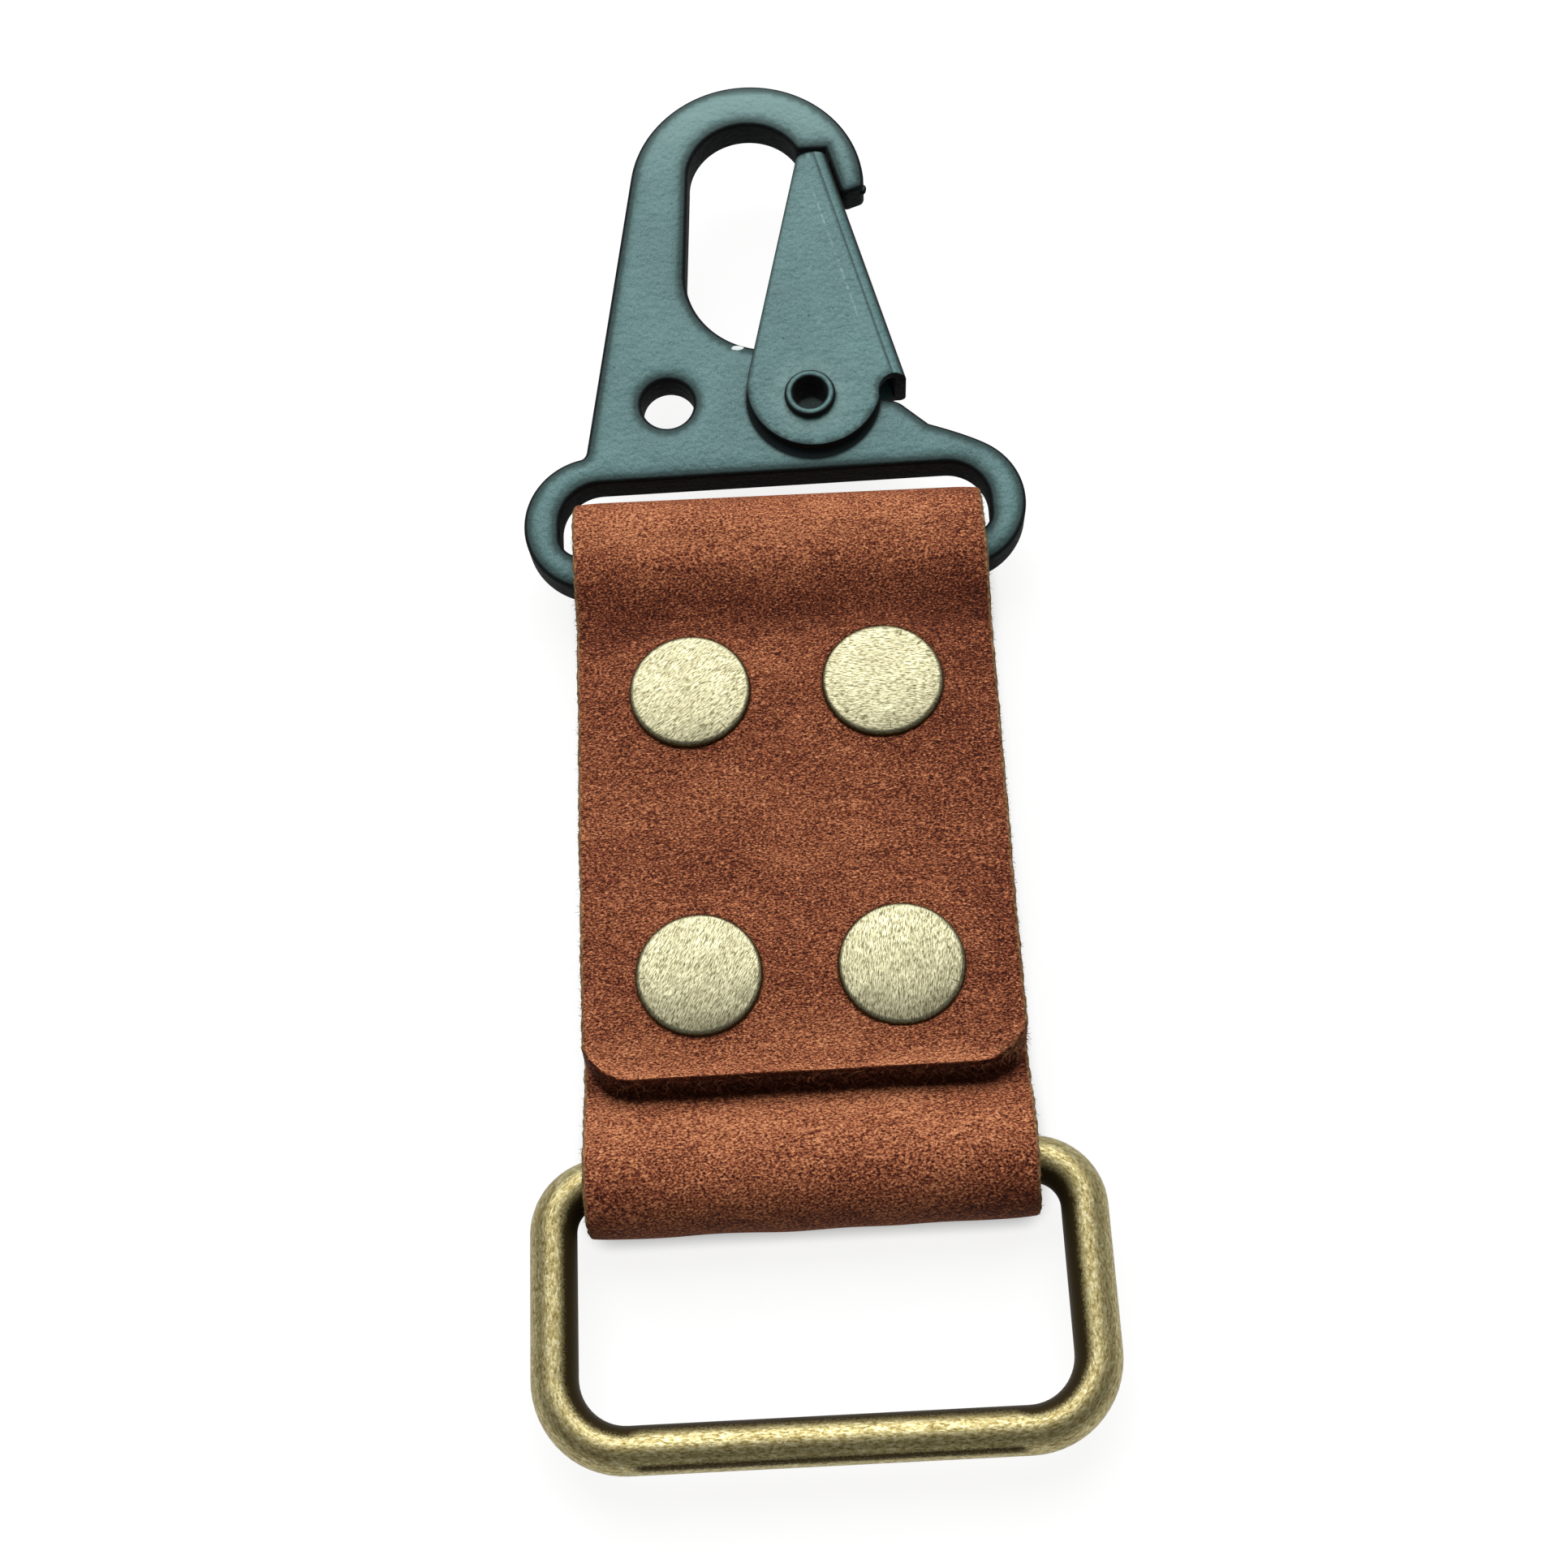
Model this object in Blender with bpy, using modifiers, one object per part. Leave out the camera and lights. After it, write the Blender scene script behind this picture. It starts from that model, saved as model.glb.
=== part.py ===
"""Leather key ring holder.

One leather strip is folded into three layers round the bar of a snap hook and the bar of a
rectangular wire ring, and four double-cap rivets hold the layers together.
The holder lies on its rear caps: X is its width, +Y points to the hook, +Z is up.
"""
import math

import bmesh
import bpy
from mathutils import Vector

MM = 0.001

# Fits and clearances
leather_gap = 0.15 * MM
metal_gap = 0.05 * MM
running_gap = 0.05 * MM
closing_gap = 0.2 * MM
cut_overrun = 1.0 * MM
merge_distance = 0.0005 * MM

# Strap
strap_width = 31.5 * MM
leather_thickness = 2.1 * MM
layer_gap = 0.12 * MM
flap_corner_radius = 3.2 * MM
flap_lift = 0.75 * MM
flap_lift_tuck = 0.89 * MM
flap_row_shares = (0, 0.08, 0.2, 0.34, 0.5, 0.66, 0.82, 1)

# Spacings along the strap, from the ring's bar to the hook's bar
ring_to_lower_rivets = 13.55 * MM
rivet_row_spacing = 22.25 * MM
upper_rivets_to_hook = 11.56 * MM
flap_overhang = 7.85 * MM
middle_overhang = 5.7 * MM
rivet_inset = 8.55 * MM

# Loops at the ends of the strap
ring_loop_play = 0.3 * MM
ring_loop_rise = 0.05 * MM
ring_loop_margin = 0.81 * MM
hook_loop_play = 0.3 * MM
hook_loop_rise = 0.6 * MM
hook_loop_slack = 0.79 * MM
hook_loop_straight = 1.65 * MM
hook_loop_margin = 0.16 * MM

# Sideways play at rest
strap_side_shift = -0.3 * MM
hook_side_shift = -0.58 * MM

# Double-cap rivets
cap_radius = 4.54 * MM
cap_height = 0.95 * MM
cap_wall = 0.28 * MM
cap_flat_radius = 3.1 * MM
cap_crown = 0.1 * MM
cap_shoulder_shares = (0.35, 0.65, 0.88, 1)
cap_shoulder_fall_share = 0.6
cap_lip_width = 0.75 * MM
cap_lip_thickness = 0.18 * MM
disc_thickness = 0.15 * MM
collar_bore_radius = 1.4 * MM
collar_wall = 0.35 * MM
collar_length = 1.5 * MM
post_wall = 0.4 * MM
post_tip_round = 0.1 * MM

# Rectangular ring
wire_diameter = 3.3 * MM
ring_side_play = 1.1 * MM
ring_drop = 18.4 * MM
ring_upper_corner_radius = 3.5 * MM
ring_lower_corner_radius = 5.0 * MM

# Snap hook plate: bar, slot and the lugs at its ends
plate_thickness = 3.2 * MM
plate_edge_round = 0.35 * MM
bar_height = 3.0 * MM
hook_rest_lift_deg = 5.5
slot_side_play = 1.0 * MM
slot_height = 6.0 * MM
slot_upper_corner_radius = 3.3 * MM
slot_lower_corner_radius = 1.6 * MM
lug_wall = 2.8 * MM
lug_top_wall = 2.3 * MM
lug_end_deg = 58.0

# Snap hook plate: boss, shoulder and round hole, from the slot's upper edge and the pivot
pivot_x = 3.3 * MM
pivot_rise = 5.9 * MM
boss_radius = 5.4 * MM
shoulder_width = 1.4 * MM
shoulder_drop = 0.25 * MM
shoulder_round = 0.5 * MM
slope_foot_inset = 1.45 * MM
slope_foot_rise = 1.15 * MM
slope_run = 1.7 * MM
round_hole_x = -8.0 * MM
round_hole_rise = 6.5 * MM
round_hole_radius = 2.53 * MM
round_hole_waist_radius = 2.1 * MM

# Snap hook plate: eye, head, nose and neck
eye_foot_x = 0.6 * MM
eye_foot_radius = 6.8 * MM
eye_foot_sink = 0.5 * MM
eye_side_deg = 176.0
eye_length = 9.0 * MM
eye_top_x = -0.92 * MM
eye_top_radius = 4.75 * MM
head_wall = 4.8 * MM
head_shift_x = 0.02 * MM
head_shift_y = -1.05 * MM
nose_width = 1.84 * MM
nose_overlap = 3.5 * MM
nose_slant = 0.6 * MM
nose_corner_radius = 0.5 * MM
tip_clearance = 0.9 * MM
neck_height = 0.55 * MM
neck_width = 1.1 * MM
neck_lean = 0.1 * MM
neck_offset = 0.6 * MM

# Gate and its rivet
gate_sheet = 0.8 * MM
gate_fold_radius = 1.0 * MM
gate_side_gap = 0.1 * MM
gate_back_distance = 7.75 * MM
gate_tip_rise = 1.2 * MM
gate_tip_radius = 0.95 * MM
gate_tip_width = 2.55 * MM
gate_tip_flat = 0.9 * MM
gate_foot_rise = 1.4 * MM
gate_round_shift_x = 0.35 * MM
gate_round_shift_y = 1.0 * MM
gate_round_radius = 5.25 * MM
gate_round_start_deg = 168.0
gate_round_end_deg = 345.0
gate_relief_radius = 1.5 * MM
gate_relief_inset = 0.75 * MM
gate_relief_rise = 0.15 * MM
gate_relief_start_deg = 190.0
gate_opening_deg = 28.0
barrel_radius = 1.65 * MM
barrel_wall = 0.35 * MM
flange_width = 0.35 * MM
flange_height = 0.6 * MM
flange_roll_share = 0.7

# Torsion spring in its pocket
spring_wire = 0.45 * MM
spring_turns = 2.375
spring_turn_gap = 0.1 * MM
spring_play = 0.575 * MM
spring_pocket_play = 0.375 * MM
spring_fixed_leg = 2.7 * MM
spring_free_leg_deg = 40.0
spring_notch_reach = 1.1 * MM
spring_notch_half_deg = 18.5
spring_channel_end_deg = 35.0

# Facets
arc_step_deg = 12.0
turned_steps = 24
spring_steps = 14

# Heights of the layers, from the flats of the rear caps
half_leather = leather_thickness / 2
layer_step = leather_thickness + layer_gap
back_layer_z = cap_height + leather_gap + half_leather
middle_layer_z = back_layer_z + layer_step
front_layer_z = middle_layer_z + layer_step
strap_back_z = back_layer_z - half_leather
strap_front_z = front_layer_z + half_leather

# Places along the strap, from the axis of the ring's bar
lower_rivets_y = ring_to_lower_rivets
upper_rivets_y = lower_rivets_y + rivet_row_spacing
hook_axis_y = upper_rivets_y + upper_rivets_to_hook
flap_end_y = lower_rivets_y - flap_overhang
flap_lift_length = flap_overhang - cap_radius + flap_lift_tuck
middle_end_y = upper_rivets_y + middle_overhang
lower_face_y = lower_rivets_y + cap_radius + cut_overrun
upper_face_y = upper_rivets_y - cap_radius - cut_overrun
rivet_spacing = strap_width - rivet_inset * 2

# Rivet fits
post_radius = collar_bore_radius - running_gap
collar_radius = collar_bore_radius + collar_wall
strap_hole_radius = collar_radius + leather_gap

# Ring and its loop
wire_radius = wire_diameter / 2
ring_inner_width = strap_width + ring_side_play * 2
ring_loop_radius = wire_radius + ring_loop_play + half_leather
ring_loop_end_y = lower_rivets_y - cap_radius - ring_loop_margin
ring_axis_z = ring_loop_radius + half_leather + ring_loop_rise

# Hook plate
plate_half = plate_thickness / 2
bar_half = bar_height / 2
slot_width = strap_width + slot_side_play * 2
slot_top_y = bar_half + slot_height
lug_radius = (bar_height + slot_height + lug_top_wall) / 2
lug_center_x = slot_width / 2 + lug_wall - lug_radius
lug_center_y = lug_radius - bar_half
lug_top_y = lug_center_y + lug_radius
pivot_y = slot_top_y + pivot_rise
round_hole_y = slot_top_y + round_hole_rise
shoulder_x = pivot_x + boss_radius + shoulder_width
shoulder_y = pivot_y - shoulder_drop
eye_foot_y = pivot_y + boss_radius + eye_foot_radius - eye_foot_sink
eye_top_y = eye_foot_y + eye_length
head_radius = eye_top_radius + head_wall
head_x = eye_top_x + head_shift_x
head_y = eye_top_y + head_shift_y
gate_tip_y = eye_top_y + gate_tip_rise
notch_y = gate_tip_y + tip_clearance
nose_end_y = gate_tip_y - nose_overlap
nose_in_x = head_x + head_radius - nose_width

# Hook's loop and the hook at rest
hook_loop_radius = math.hypot(bar_half, plate_half) + hook_loop_play + leather_thickness
hook_loop_y = hook_axis_y + hook_loop_slack
hook_loop_low_y = hook_loop_y - hook_loop_straight
hook_loop_foot_y = upper_rivets_y + cap_radius + hook_loop_margin
hook_axis_z = hook_loop_radius + hook_loop_rise
lift = math.radians(hook_rest_lift_deg)

# Whole holder
low_end_y = -ring_drop - wire_radius
high_end_y = hook_axis_y + (head_y + head_radius) * math.cos(lift)
high_end_y += (plate_half - plate_edge_round) * math.sin(lift)
frame_shift_y = -(low_end_y + high_end_y) / 2

# Gate, its rivet and its spring
cheek_front = plate_half + gate_side_gap + gate_sheet
gate_foot_y = pivot_y + gate_foot_rise
gate_round_x = pivot_x + gate_round_shift_x
gate_round_y = pivot_y + gate_round_shift_y
barrel_bore_radius = barrel_radius - barrel_wall
flange_radius = barrel_radius + flange_width
spring_pitch = spring_wire + spring_turn_gap
spring_mean_radius = barrel_radius + spring_play + spring_wire / 2
spring_pocket_radius = spring_mean_radius + spring_wire / 2 + spring_pocket_play
spring_pocket_depth = spring_pitch * spring_turns + spring_wire + metal_gap * 2


# Materials

MATERIALS = {
    "leather": ((0.30, 0.085, 0.035, 1.0), 0.75, 0.0),
    "black_paint": ((0.035, 0.05, 0.052, 1.0), 0.42, 0.3),
    "antique_brass": ((0.42, 0.36, 0.2, 1.0), 0.38, 1.0),
    "steel": ((0.45, 0.45, 0.44, 1.0), 0.35, 1.0),
}


def make_material(name):
    """Return the named material, made once."""
    material = bpy.data.materials.get(name)
    if material:
        return material
    color, roughness, metallic = MATERIALS[name]
    material = bpy.data.materials.new(name)
    material.use_nodes = True
    shader = material.node_tree.nodes["Principled BSDF"]
    shader.inputs["Base Color"].default_value = color
    shader.inputs["Roughness"].default_value = roughness
    shader.inputs["Metallic"].default_value = metallic
    material.diffuse_color = color
    return material


# Scene helpers


def clear_scene():
    """Remove every object and start with two collections."""
    for item in list(bpy.data.objects):
        bpy.data.objects.remove(item, do_unlink=True)
    for name in ("leather_key_ring_holder", "cutters"):
        collection = bpy.data.collections.new(name)
        bpy.context.scene.collection.children.link(collection)


def link(item, material_name=None):
    """Put a part in the model's collection, or a cutter or empty in the cutters'."""
    name = "leather_key_ring_holder" if material_name else "cutters"
    bpy.data.collections[name].objects.link(item)
    if material_name:
        item.data.materials.clear()
        item.data.materials.append(make_material(material_name))
    return item


def place(item, location, parent=None, rotation=(0, 0, 0)):
    item.parent = parent
    item.location = location
    item.rotation_euler = rotation
    return item


def make_axis(name, location, parent=None, rotation=(0, 0, 0)):
    """An empty on a joint's axis, which carries the pieces that turn on it."""
    empty = bpy.data.objects.new(name, None)
    link(empty)
    return place(empty, location, parent, rotation)


def mark_cutter(cutter):
    cutter.hide_render = True
    cutter.display_type = "WIRE"
    return cutter


def cut(item, cutter, operation="DIFFERENCE"):
    modifier = item.modifiers.new(operation.lower(), "BOOLEAN")
    modifier.operation = operation
    modifier.object = cutter
    return modifier


def object_from_bmesh(name, mesh_data, material_name=None):
    mesh = bpy.data.meshes.new(name)
    mesh_data.to_mesh(mesh)
    mesh_data.free()
    return link(bpy.data.objects.new(name, mesh), material_name)


def mesh_from_curve(curve_object, material_name=None):
    """Replace a curve by the mesh it makes, with its caps welded on."""
    name = curve_object.name
    bpy.context.view_layer.update()
    evaluated = curve_object.evaluated_get(bpy.context.evaluated_depsgraph_get())
    mesh = bpy.data.meshes.new_from_object(evaluated)
    mesh_data = bmesh.new()
    mesh_data.from_mesh(mesh)
    bmesh.ops.remove_doubles(mesh_data, verts=mesh_data.verts, dist=merge_distance)
    mesh_data.to_mesh(mesh)
    mesh_data.free()
    matrix = curve_object.matrix_world.copy()
    bpy.data.objects.remove(curve_object, do_unlink=True)
    item = bpy.data.objects.new(name, mesh)
    item.matrix_world = matrix
    return link(item, material_name)


# Outlines


def arc(center, radius, start_deg, end_deg):
    """Points on an arc, both ends included; a falling angle turns clockwise."""
    steps = max(1, math.ceil(abs(end_deg - start_deg) / arc_step_deg))
    points = []
    for step in range(steps + 1):
        angle = math.radians(start_deg + (end_deg - start_deg) * step / steps)
        points.append((center[0] + radius * math.cos(angle), center[1] + radius * math.sin(angle)))
    return points


def polar(radius, angle_deg):
    angle = math.radians(angle_deg)
    return Vector((radius * math.cos(angle), radius * math.sin(angle)))


def full_circle(center, radius):
    return arc(center, radius, 0, 360)[:-1]


def bend(start, corner, end, steps=5):
    """A smooth bend from start to end that leans into the corner."""
    points = []
    for step in range(steps + 1):
        share = step / steps
        rest = 1 - share
        weights = (rest * rest, 2 * rest * share, share * share)
        points.append(tuple(
            weights[0] * a + weights[1] * b + weights[2] * c for a, b, c in zip(start, corner, end)
        ))
    return points


def rounded_polygon(corners):
    """Outline through corners (x, y, radius), each rounded by its own radius; zero keeps it sharp."""
    points = []
    for index, (x, y, radius) in enumerate(corners):
        if not radius:
            points.append((x, y))
            continue
        corner = Vector((x, y))
        to_before = (Vector(corners[index - 1][:2]) - corner).normalized()
        to_after = (Vector(corners[(index + 1) % len(corners)][:2]) - corner).normalized()
        half = to_before.angle(to_after) / 2
        center = corner + (to_before + to_after).normalized() * radius / math.sin(half)
        start = corner + to_before * radius / math.tan(half) - center
        end = corner + to_after * radius / math.tan(half) - center
        first = math.degrees(math.atan2(start.y, start.x))
        turn = (math.degrees(math.atan2(end.y, end.x)) - first + 180) % 360 - 180
        points += arc(center, radius, first, first + turn)
    return points


def flat_curve(name, outlines, thickness, edge_round=0):
    """A flat piece: closed outlines, the inner ones being holes, extruded both ways."""
    curve = bpy.data.curves.new(name, "CURVE")
    curve.dimensions = "2D"
    curve.fill_mode = "BOTH"
    curve.extrude = thickness / 2 - edge_round
    curve.bevel_depth = edge_round
    curve.bevel_resolution = 1
    curve.offset = -edge_round
    for outline in outlines:
        spline = curve.splines.new("POLY")
        spline.points.add(len(outline) - 1)
        for point, (x, y) in zip(spline.points, outline):
            point.co = (x, y, 0, 1)
        spline.use_cyclic_u = True
    return link(bpy.data.objects.new(name, curve))


def flat_mesh(name, outlines, thickness, material_name=None, edge_round=0):
    item = mesh_from_curve(flat_curve(name, outlines, thickness, edge_round), material_name)
    shade_round(item)
    return item


def tube(name, points, radius, material_name, cyclic=False, resolution=2):
    """A round wire along points."""
    curve = bpy.data.curves.new(name, "CURVE")
    curve.dimensions = "3D"
    curve.bevel_depth = radius
    curve.bevel_resolution = resolution
    curve.use_fill_caps = not cyclic
    spline = curve.splines.new("POLY")
    spline.points.add(len(points) - 1)
    for point, position in zip(spline.points, points):
        point.co = (*position, 1)
    spline.use_cyclic_u = cyclic
    item = mesh_from_curve(link(bpy.data.objects.new(name, curve)), material_name)
    shade_round(item)
    return item


def shade_round(item):
    item.data.shade_smooth()
    item.data.set_sharp_from_angle(angle=math.radians(35))


def turned(name, profile, material_name, closed=False):
    """A turned piece: a profile (radius, height) at +X, spun about Z."""
    mesh_data = bmesh.new()
    verts = [mesh_data.verts.new((radius, 0, height)) for radius, height in profile]
    for first, second in zip(verts, verts[1:]):
        mesh_data.edges.new((first, second))
    if closed:
        mesh_data.edges.new((verts[-1], verts[0]))
    item = object_from_bmesh(name, mesh_data, material_name)
    screw = item.modifiers.new("turn", "SCREW")
    screw.axis = "Z"
    screw.steps = turned_steps
    screw.render_steps = turned_steps
    screw.use_merge_vertices = True
    screw.merge_threshold = merge_distance
    screw.use_smooth_shade = True
    return item


def cylinder_cutter(name, radius, depth):
    mesh_data = bmesh.new()
    bmesh.ops.create_cone(
        mesh_data, cap_ends=True, segments=turned_steps, radius1=radius, radius2=radius, depth=depth
    )
    return mark_cutter(object_from_bmesh(name, mesh_data))


# Strap


def ease(start, end, share):
    """Value between start and end along a cosine blend."""
    return start + (end - start) * (1 - math.cos(math.pi * share)) / 2


def blend_line(start, end, steps=8):
    """Points (y, z) from start to end, level at both ends; start itself is left out."""
    points = []
    for step in range(1, steps + 1):
        share = step / steps
        points.append((start[0] + (end[0] - start[0]) * share, ease(start[1], end[1], share)))
    return points


def flap_height(y):
    """Height of the front layer's middle line near the flap's end."""
    past = max(0, flap_end_y + flap_lift_length - y) / flap_lift_length
    return front_layer_z + flap_lift * past * past


def strap_path():
    """Middle line (y, z) of the folded strip, from the flap's end to the hidden end."""
    loop_line_radius = hook_loop_radius - half_leather
    corner_rows = [flap_end_y + flap_corner_radius * share for share in flap_row_shares]
    points = [(y, flap_height(y)) for y in corner_rows]
    lift_end = flap_end_y + flap_lift_length
    points.append((lift_end, flap_height(lift_end)))
    points += [(y, front_layer_z) for y in (lower_face_y, upper_face_y, hook_loop_foot_y)]
    points += blend_line(points[-1], (hook_loop_low_y, hook_axis_z + loop_line_radius))
    points += arc((hook_loop_y, hook_axis_z), loop_line_radius, 90, -90)
    points.append((hook_loop_low_y, hook_axis_z - loop_line_radius))
    points += blend_line(points[-1], (hook_loop_foot_y, back_layer_z))
    points += [(y, back_layer_z) for y in (upper_face_y, lower_face_y, ring_loop_end_y)]
    points += blend_line(points[-1], (0, ring_axis_z - ring_loop_radius))
    points += arc((0, ring_axis_z), ring_loop_radius, 270, 90)[1:]
    points += blend_line(points[-1], (ring_loop_end_y, middle_layer_z))
    points += [(y, middle_layer_z) for y in (lower_face_y, upper_face_y, middle_end_y)]
    return points


def strap_half_width(row, y):
    """Half the strip's width at a row; the flap's corners are round."""
    past = flap_end_y + flap_corner_radius - y
    if row >= len(flap_row_shares) or past <= 0:
        return strap_width / 2
    inset = flap_corner_radius - math.sqrt(max(0, flap_corner_radius ** 2 - past ** 2))
    return strap_width / 2 - inset


def build_strap():
    mesh_data = bmesh.new()
    rows = []
    for row, (y, z) in enumerate(strap_path()):
        half = strap_half_width(row, y)
        rows.append([mesh_data.verts.new((x, y, z)) for x in (-half, half)])
    for lower, upper in zip(rows, rows[1:]):
        mesh_data.faces.new((lower[0], lower[1], upper[1], upper[0]))
    strap = object_from_bmesh("strap", mesh_data, "leather")
    place(strap, (strap_side_shift, frame_shift_y, 0))
    shell = strap.modifiers.new("leather", "SOLIDIFY")
    shell.thickness = leather_thickness
    shell.offset = 0
    shell.use_even_offset = True
    hole_depth = strap_front_z + cut_overrun
    for index, (x, y) in enumerate(rivet_places(), start=1):
        cutter = cylinder_cutter(f"rivet_hole_{index}", strap_hole_radius, hole_depth)
        place(cutter, (x, y, hole_depth / 2))
        cut(strap, cutter)
    return strap


# Double-cap rivets


def rivet_places():
    """Places (x, y) of the four rivets in the holder's frame."""
    places = []
    for y in (upper_rivets_y, lower_rivets_y):
        for side in (-1, 1):
            places.append((strap_side_shift + side * rivet_spacing / 2, frame_shift_y + y))
    return places


def cap_profile():
    """Shell of a cap, lip down: a nearly flat top, round shoulder and a lip turned in."""
    shoulder_height = cap_height - cap_crown
    shoulder_width = cap_radius - cap_flat_radius
    outer = [(0, cap_height), (cap_flat_radius, cap_height)]
    for share in cap_shoulder_shares:
        fall = shoulder_height * (1 - math.sqrt(1 - share * share)) * cap_shoulder_fall_share
        outer.append((cap_flat_radius + shoulder_width * share, shoulder_height - fall))
    outer.append((cap_radius, cap_lip_thickness))
    outer.append((cap_radius - cap_wall, 0))
    lip_inner = cap_radius - cap_lip_width
    ceiling = cap_height - cap_wall
    wall_inner = cap_radius - cap_wall
    inner = [
        (lip_inner, 0),
        (lip_inner, cap_lip_thickness),
        (wall_inner, cap_lip_thickness),
        (wall_inner, cap_lip_thickness + disc_thickness + metal_gap * 2),
        (cap_flat_radius, ceiling),
        (0, ceiling),
    ]
    return outer + inner


def build_rivet(index, x, y):
    """One rivet: front cap on its socket, rear cap on the flange of the post."""
    front_foot = strap_front_z + leather_gap
    rear_foot = strap_back_z - leather_gap
    disc_low = cap_lip_thickness + metal_gap
    disc_high = disc_low + disc_thickness
    disc_radius = cap_radius - cap_wall - metal_gap
    tip = cap_height - cap_wall - metal_gap
    front_cap = turned(f"front_cap_{index}", cap_profile(), "antique_brass")
    place(front_cap, (x, y, front_foot))
    rear_cap = turned(f"rear_cap_{index}", cap_profile(), "antique_brass")
    place(rear_cap, (x, y, rear_foot), rotation=(math.pi, 0, 0))
    socket_profile = [
        (collar_bore_radius, disc_high),
        (disc_radius, disc_high),
        (disc_radius, disc_low),
        (collar_radius, disc_low),
        (collar_radius, disc_low - collar_length),
        (collar_bore_radius, disc_low - collar_length),
    ]
    socket = turned(f"front_socket_{index}", socket_profile, "antique_brass", closed=True)
    place(socket, (x, y, front_foot))
    post_length = front_foot - rear_foot + tip
    post_bore = post_radius - post_wall
    post_profile = [
        (post_bore, post_length),
        (post_radius - post_tip_round, post_length),
        (post_radius, post_length - post_tip_round),
        (post_radius, -disc_low),
        (disc_radius, -disc_low),
        (disc_radius, -disc_high),
        (post_bore, -disc_high),
    ]
    post = turned(f"rear_post_{index}", post_profile, "antique_brass", closed=True)
    place(post, (x, y, rear_foot))


# Rectangular ring


def build_ring(axis):
    half_width = (ring_inner_width + wire_diameter) / 2
    outline = rounded_polygon([
        (-half_width, -ring_drop, ring_lower_corner_radius),
        (half_width, -ring_drop, ring_lower_corner_radius),
        (half_width, 0, ring_upper_corner_radius),
        (-half_width, 0, ring_upper_corner_radius),
    ])
    points = [(x, y, 0) for x, y in outline]
    ring = tube("ring", points, wire_radius, "antique_brass", cyclic=True)
    return place(ring, (0, 0, 0), axis)


# Snap hook plate


def gate_back_lean_deg():
    """Angle at which the gate's back meets the nose's inner face, a closing gap short of it."""
    reach = Vector((nose_in_x - closing_gap - pivot_x, nose_end_y - pivot_y))
    side = math.acos(gate_back_distance / reach.length)
    return math.degrees(math.atan2(reach.y, reach.x) - side)


def back_line_x(y, out=0):
    """X of the gate's back face at a height, or of a line that much further out."""
    lean = math.radians(gate_back_lean_deg())
    return pivot_x + (gate_back_distance + out - (y - pivot_y) * math.sin(lean)) / math.cos(lean)


def left_edge_lean_deg():
    """Lean of the straight left edge, which touches the head and ends at the neck."""
    reach = Vector((head_x + lug_center_x + neck_offset, head_y - lug_top_y - neck_height))
    side = math.asin(head_radius / reach.length)
    return 90 - math.degrees(math.atan2(reach.y, reach.x) + side)


def plate_outline():
    """Outline of the hook: bar, right lug, shoulder, boss, eye, nose, head and left lug."""
    points = arc((lug_center_x, lug_center_y), lug_radius, -90, lug_end_deg)
    slope_foot = (lug_center_x - slope_foot_inset, lug_top_y + slope_foot_rise)
    slope_bend = Vector(points[-1]) + polar(slope_run, lug_end_deg + 90)
    points += bend(points[-1], slope_bend, slope_foot)[1:]
    slope_top = (shoulder_x + shoulder_round, shoulder_y - shoulder_round)
    points += bend(slope_top, (shoulder_x, shoulder_y), (shoulder_x - shoulder_round, shoulder_y), 3)
    points += arc((pivot_x, pivot_y), boss_radius, 0, 90)
    points += arc((eye_foot_x, eye_foot_y), eye_foot_radius, 270, eye_side_deg)
    top_side = math.degrees(math.asin((notch_y - eye_top_y) / eye_top_radius))
    points += arc((eye_top_x, eye_top_y), eye_top_radius, 180, top_side)
    points.append((back_line_x(notch_y, closing_gap), notch_y))
    nose_start = (nose_in_x, nose_end_y + nose_corner_radius)
    points += bend(nose_start, (nose_in_x, nose_end_y), (nose_in_x + nose_corner_radius, nose_end_y), 3)
    nose_out_y = nose_end_y + nose_slant
    nose_deg = math.degrees(math.asin((nose_out_y + nose_corner_radius - head_y) / head_radius))
    head = arc((head_x, head_y), head_radius, nose_deg, 90)
    head += arc((head_x, head_y), head_radius, 90, 180 - left_edge_lean_deg())[1:]
    nose_out_x = head[0][0]
    points += bend((nose_out_x - nose_corner_radius, nose_out_y), (nose_out_x, nose_out_y), head[0], 3)[:-1]
    points += head
    neck_x = -lug_center_x - neck_offset
    neck_side_deg = 90 + math.degrees(neck_width / lug_radius)
    left_lug = arc((-lug_center_x, lug_center_y), lug_radius, neck_side_deg, 270)
    neck = (neck_x, lug_top_y + neck_height)
    points += bend(neck, (neck_x - neck_lean, lug_top_y), left_lug[0])[:-1]
    points += left_lug
    return points


def slot_outline():
    half = slot_width / 2
    return rounded_polygon([
        (-half, bar_half, slot_lower_corner_radius),
        (half, bar_half, slot_lower_corner_radius),
        (half, slot_top_y, slot_upper_corner_radius),
        (-half, slot_top_y, slot_upper_corner_radius),
    ])


def build_hook_plate(axis):
    outlines = [plate_outline(), slot_outline()]
    plate = flat_mesh("hook_plate", outlines, plate_thickness, "black_paint", plate_edge_round)
    place(plate, (0, 0, 0), axis)
    bore = cylinder_cutter("pivot_bore", barrel_radius + running_gap, plate_thickness + cut_overrun)
    cut(plate, place(bore, (pivot_x, pivot_y, 0), axis))
    cut(plate, hole_cutter(axis))
    cut(plate, pocket_cutter(axis))
    return plate


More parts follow.
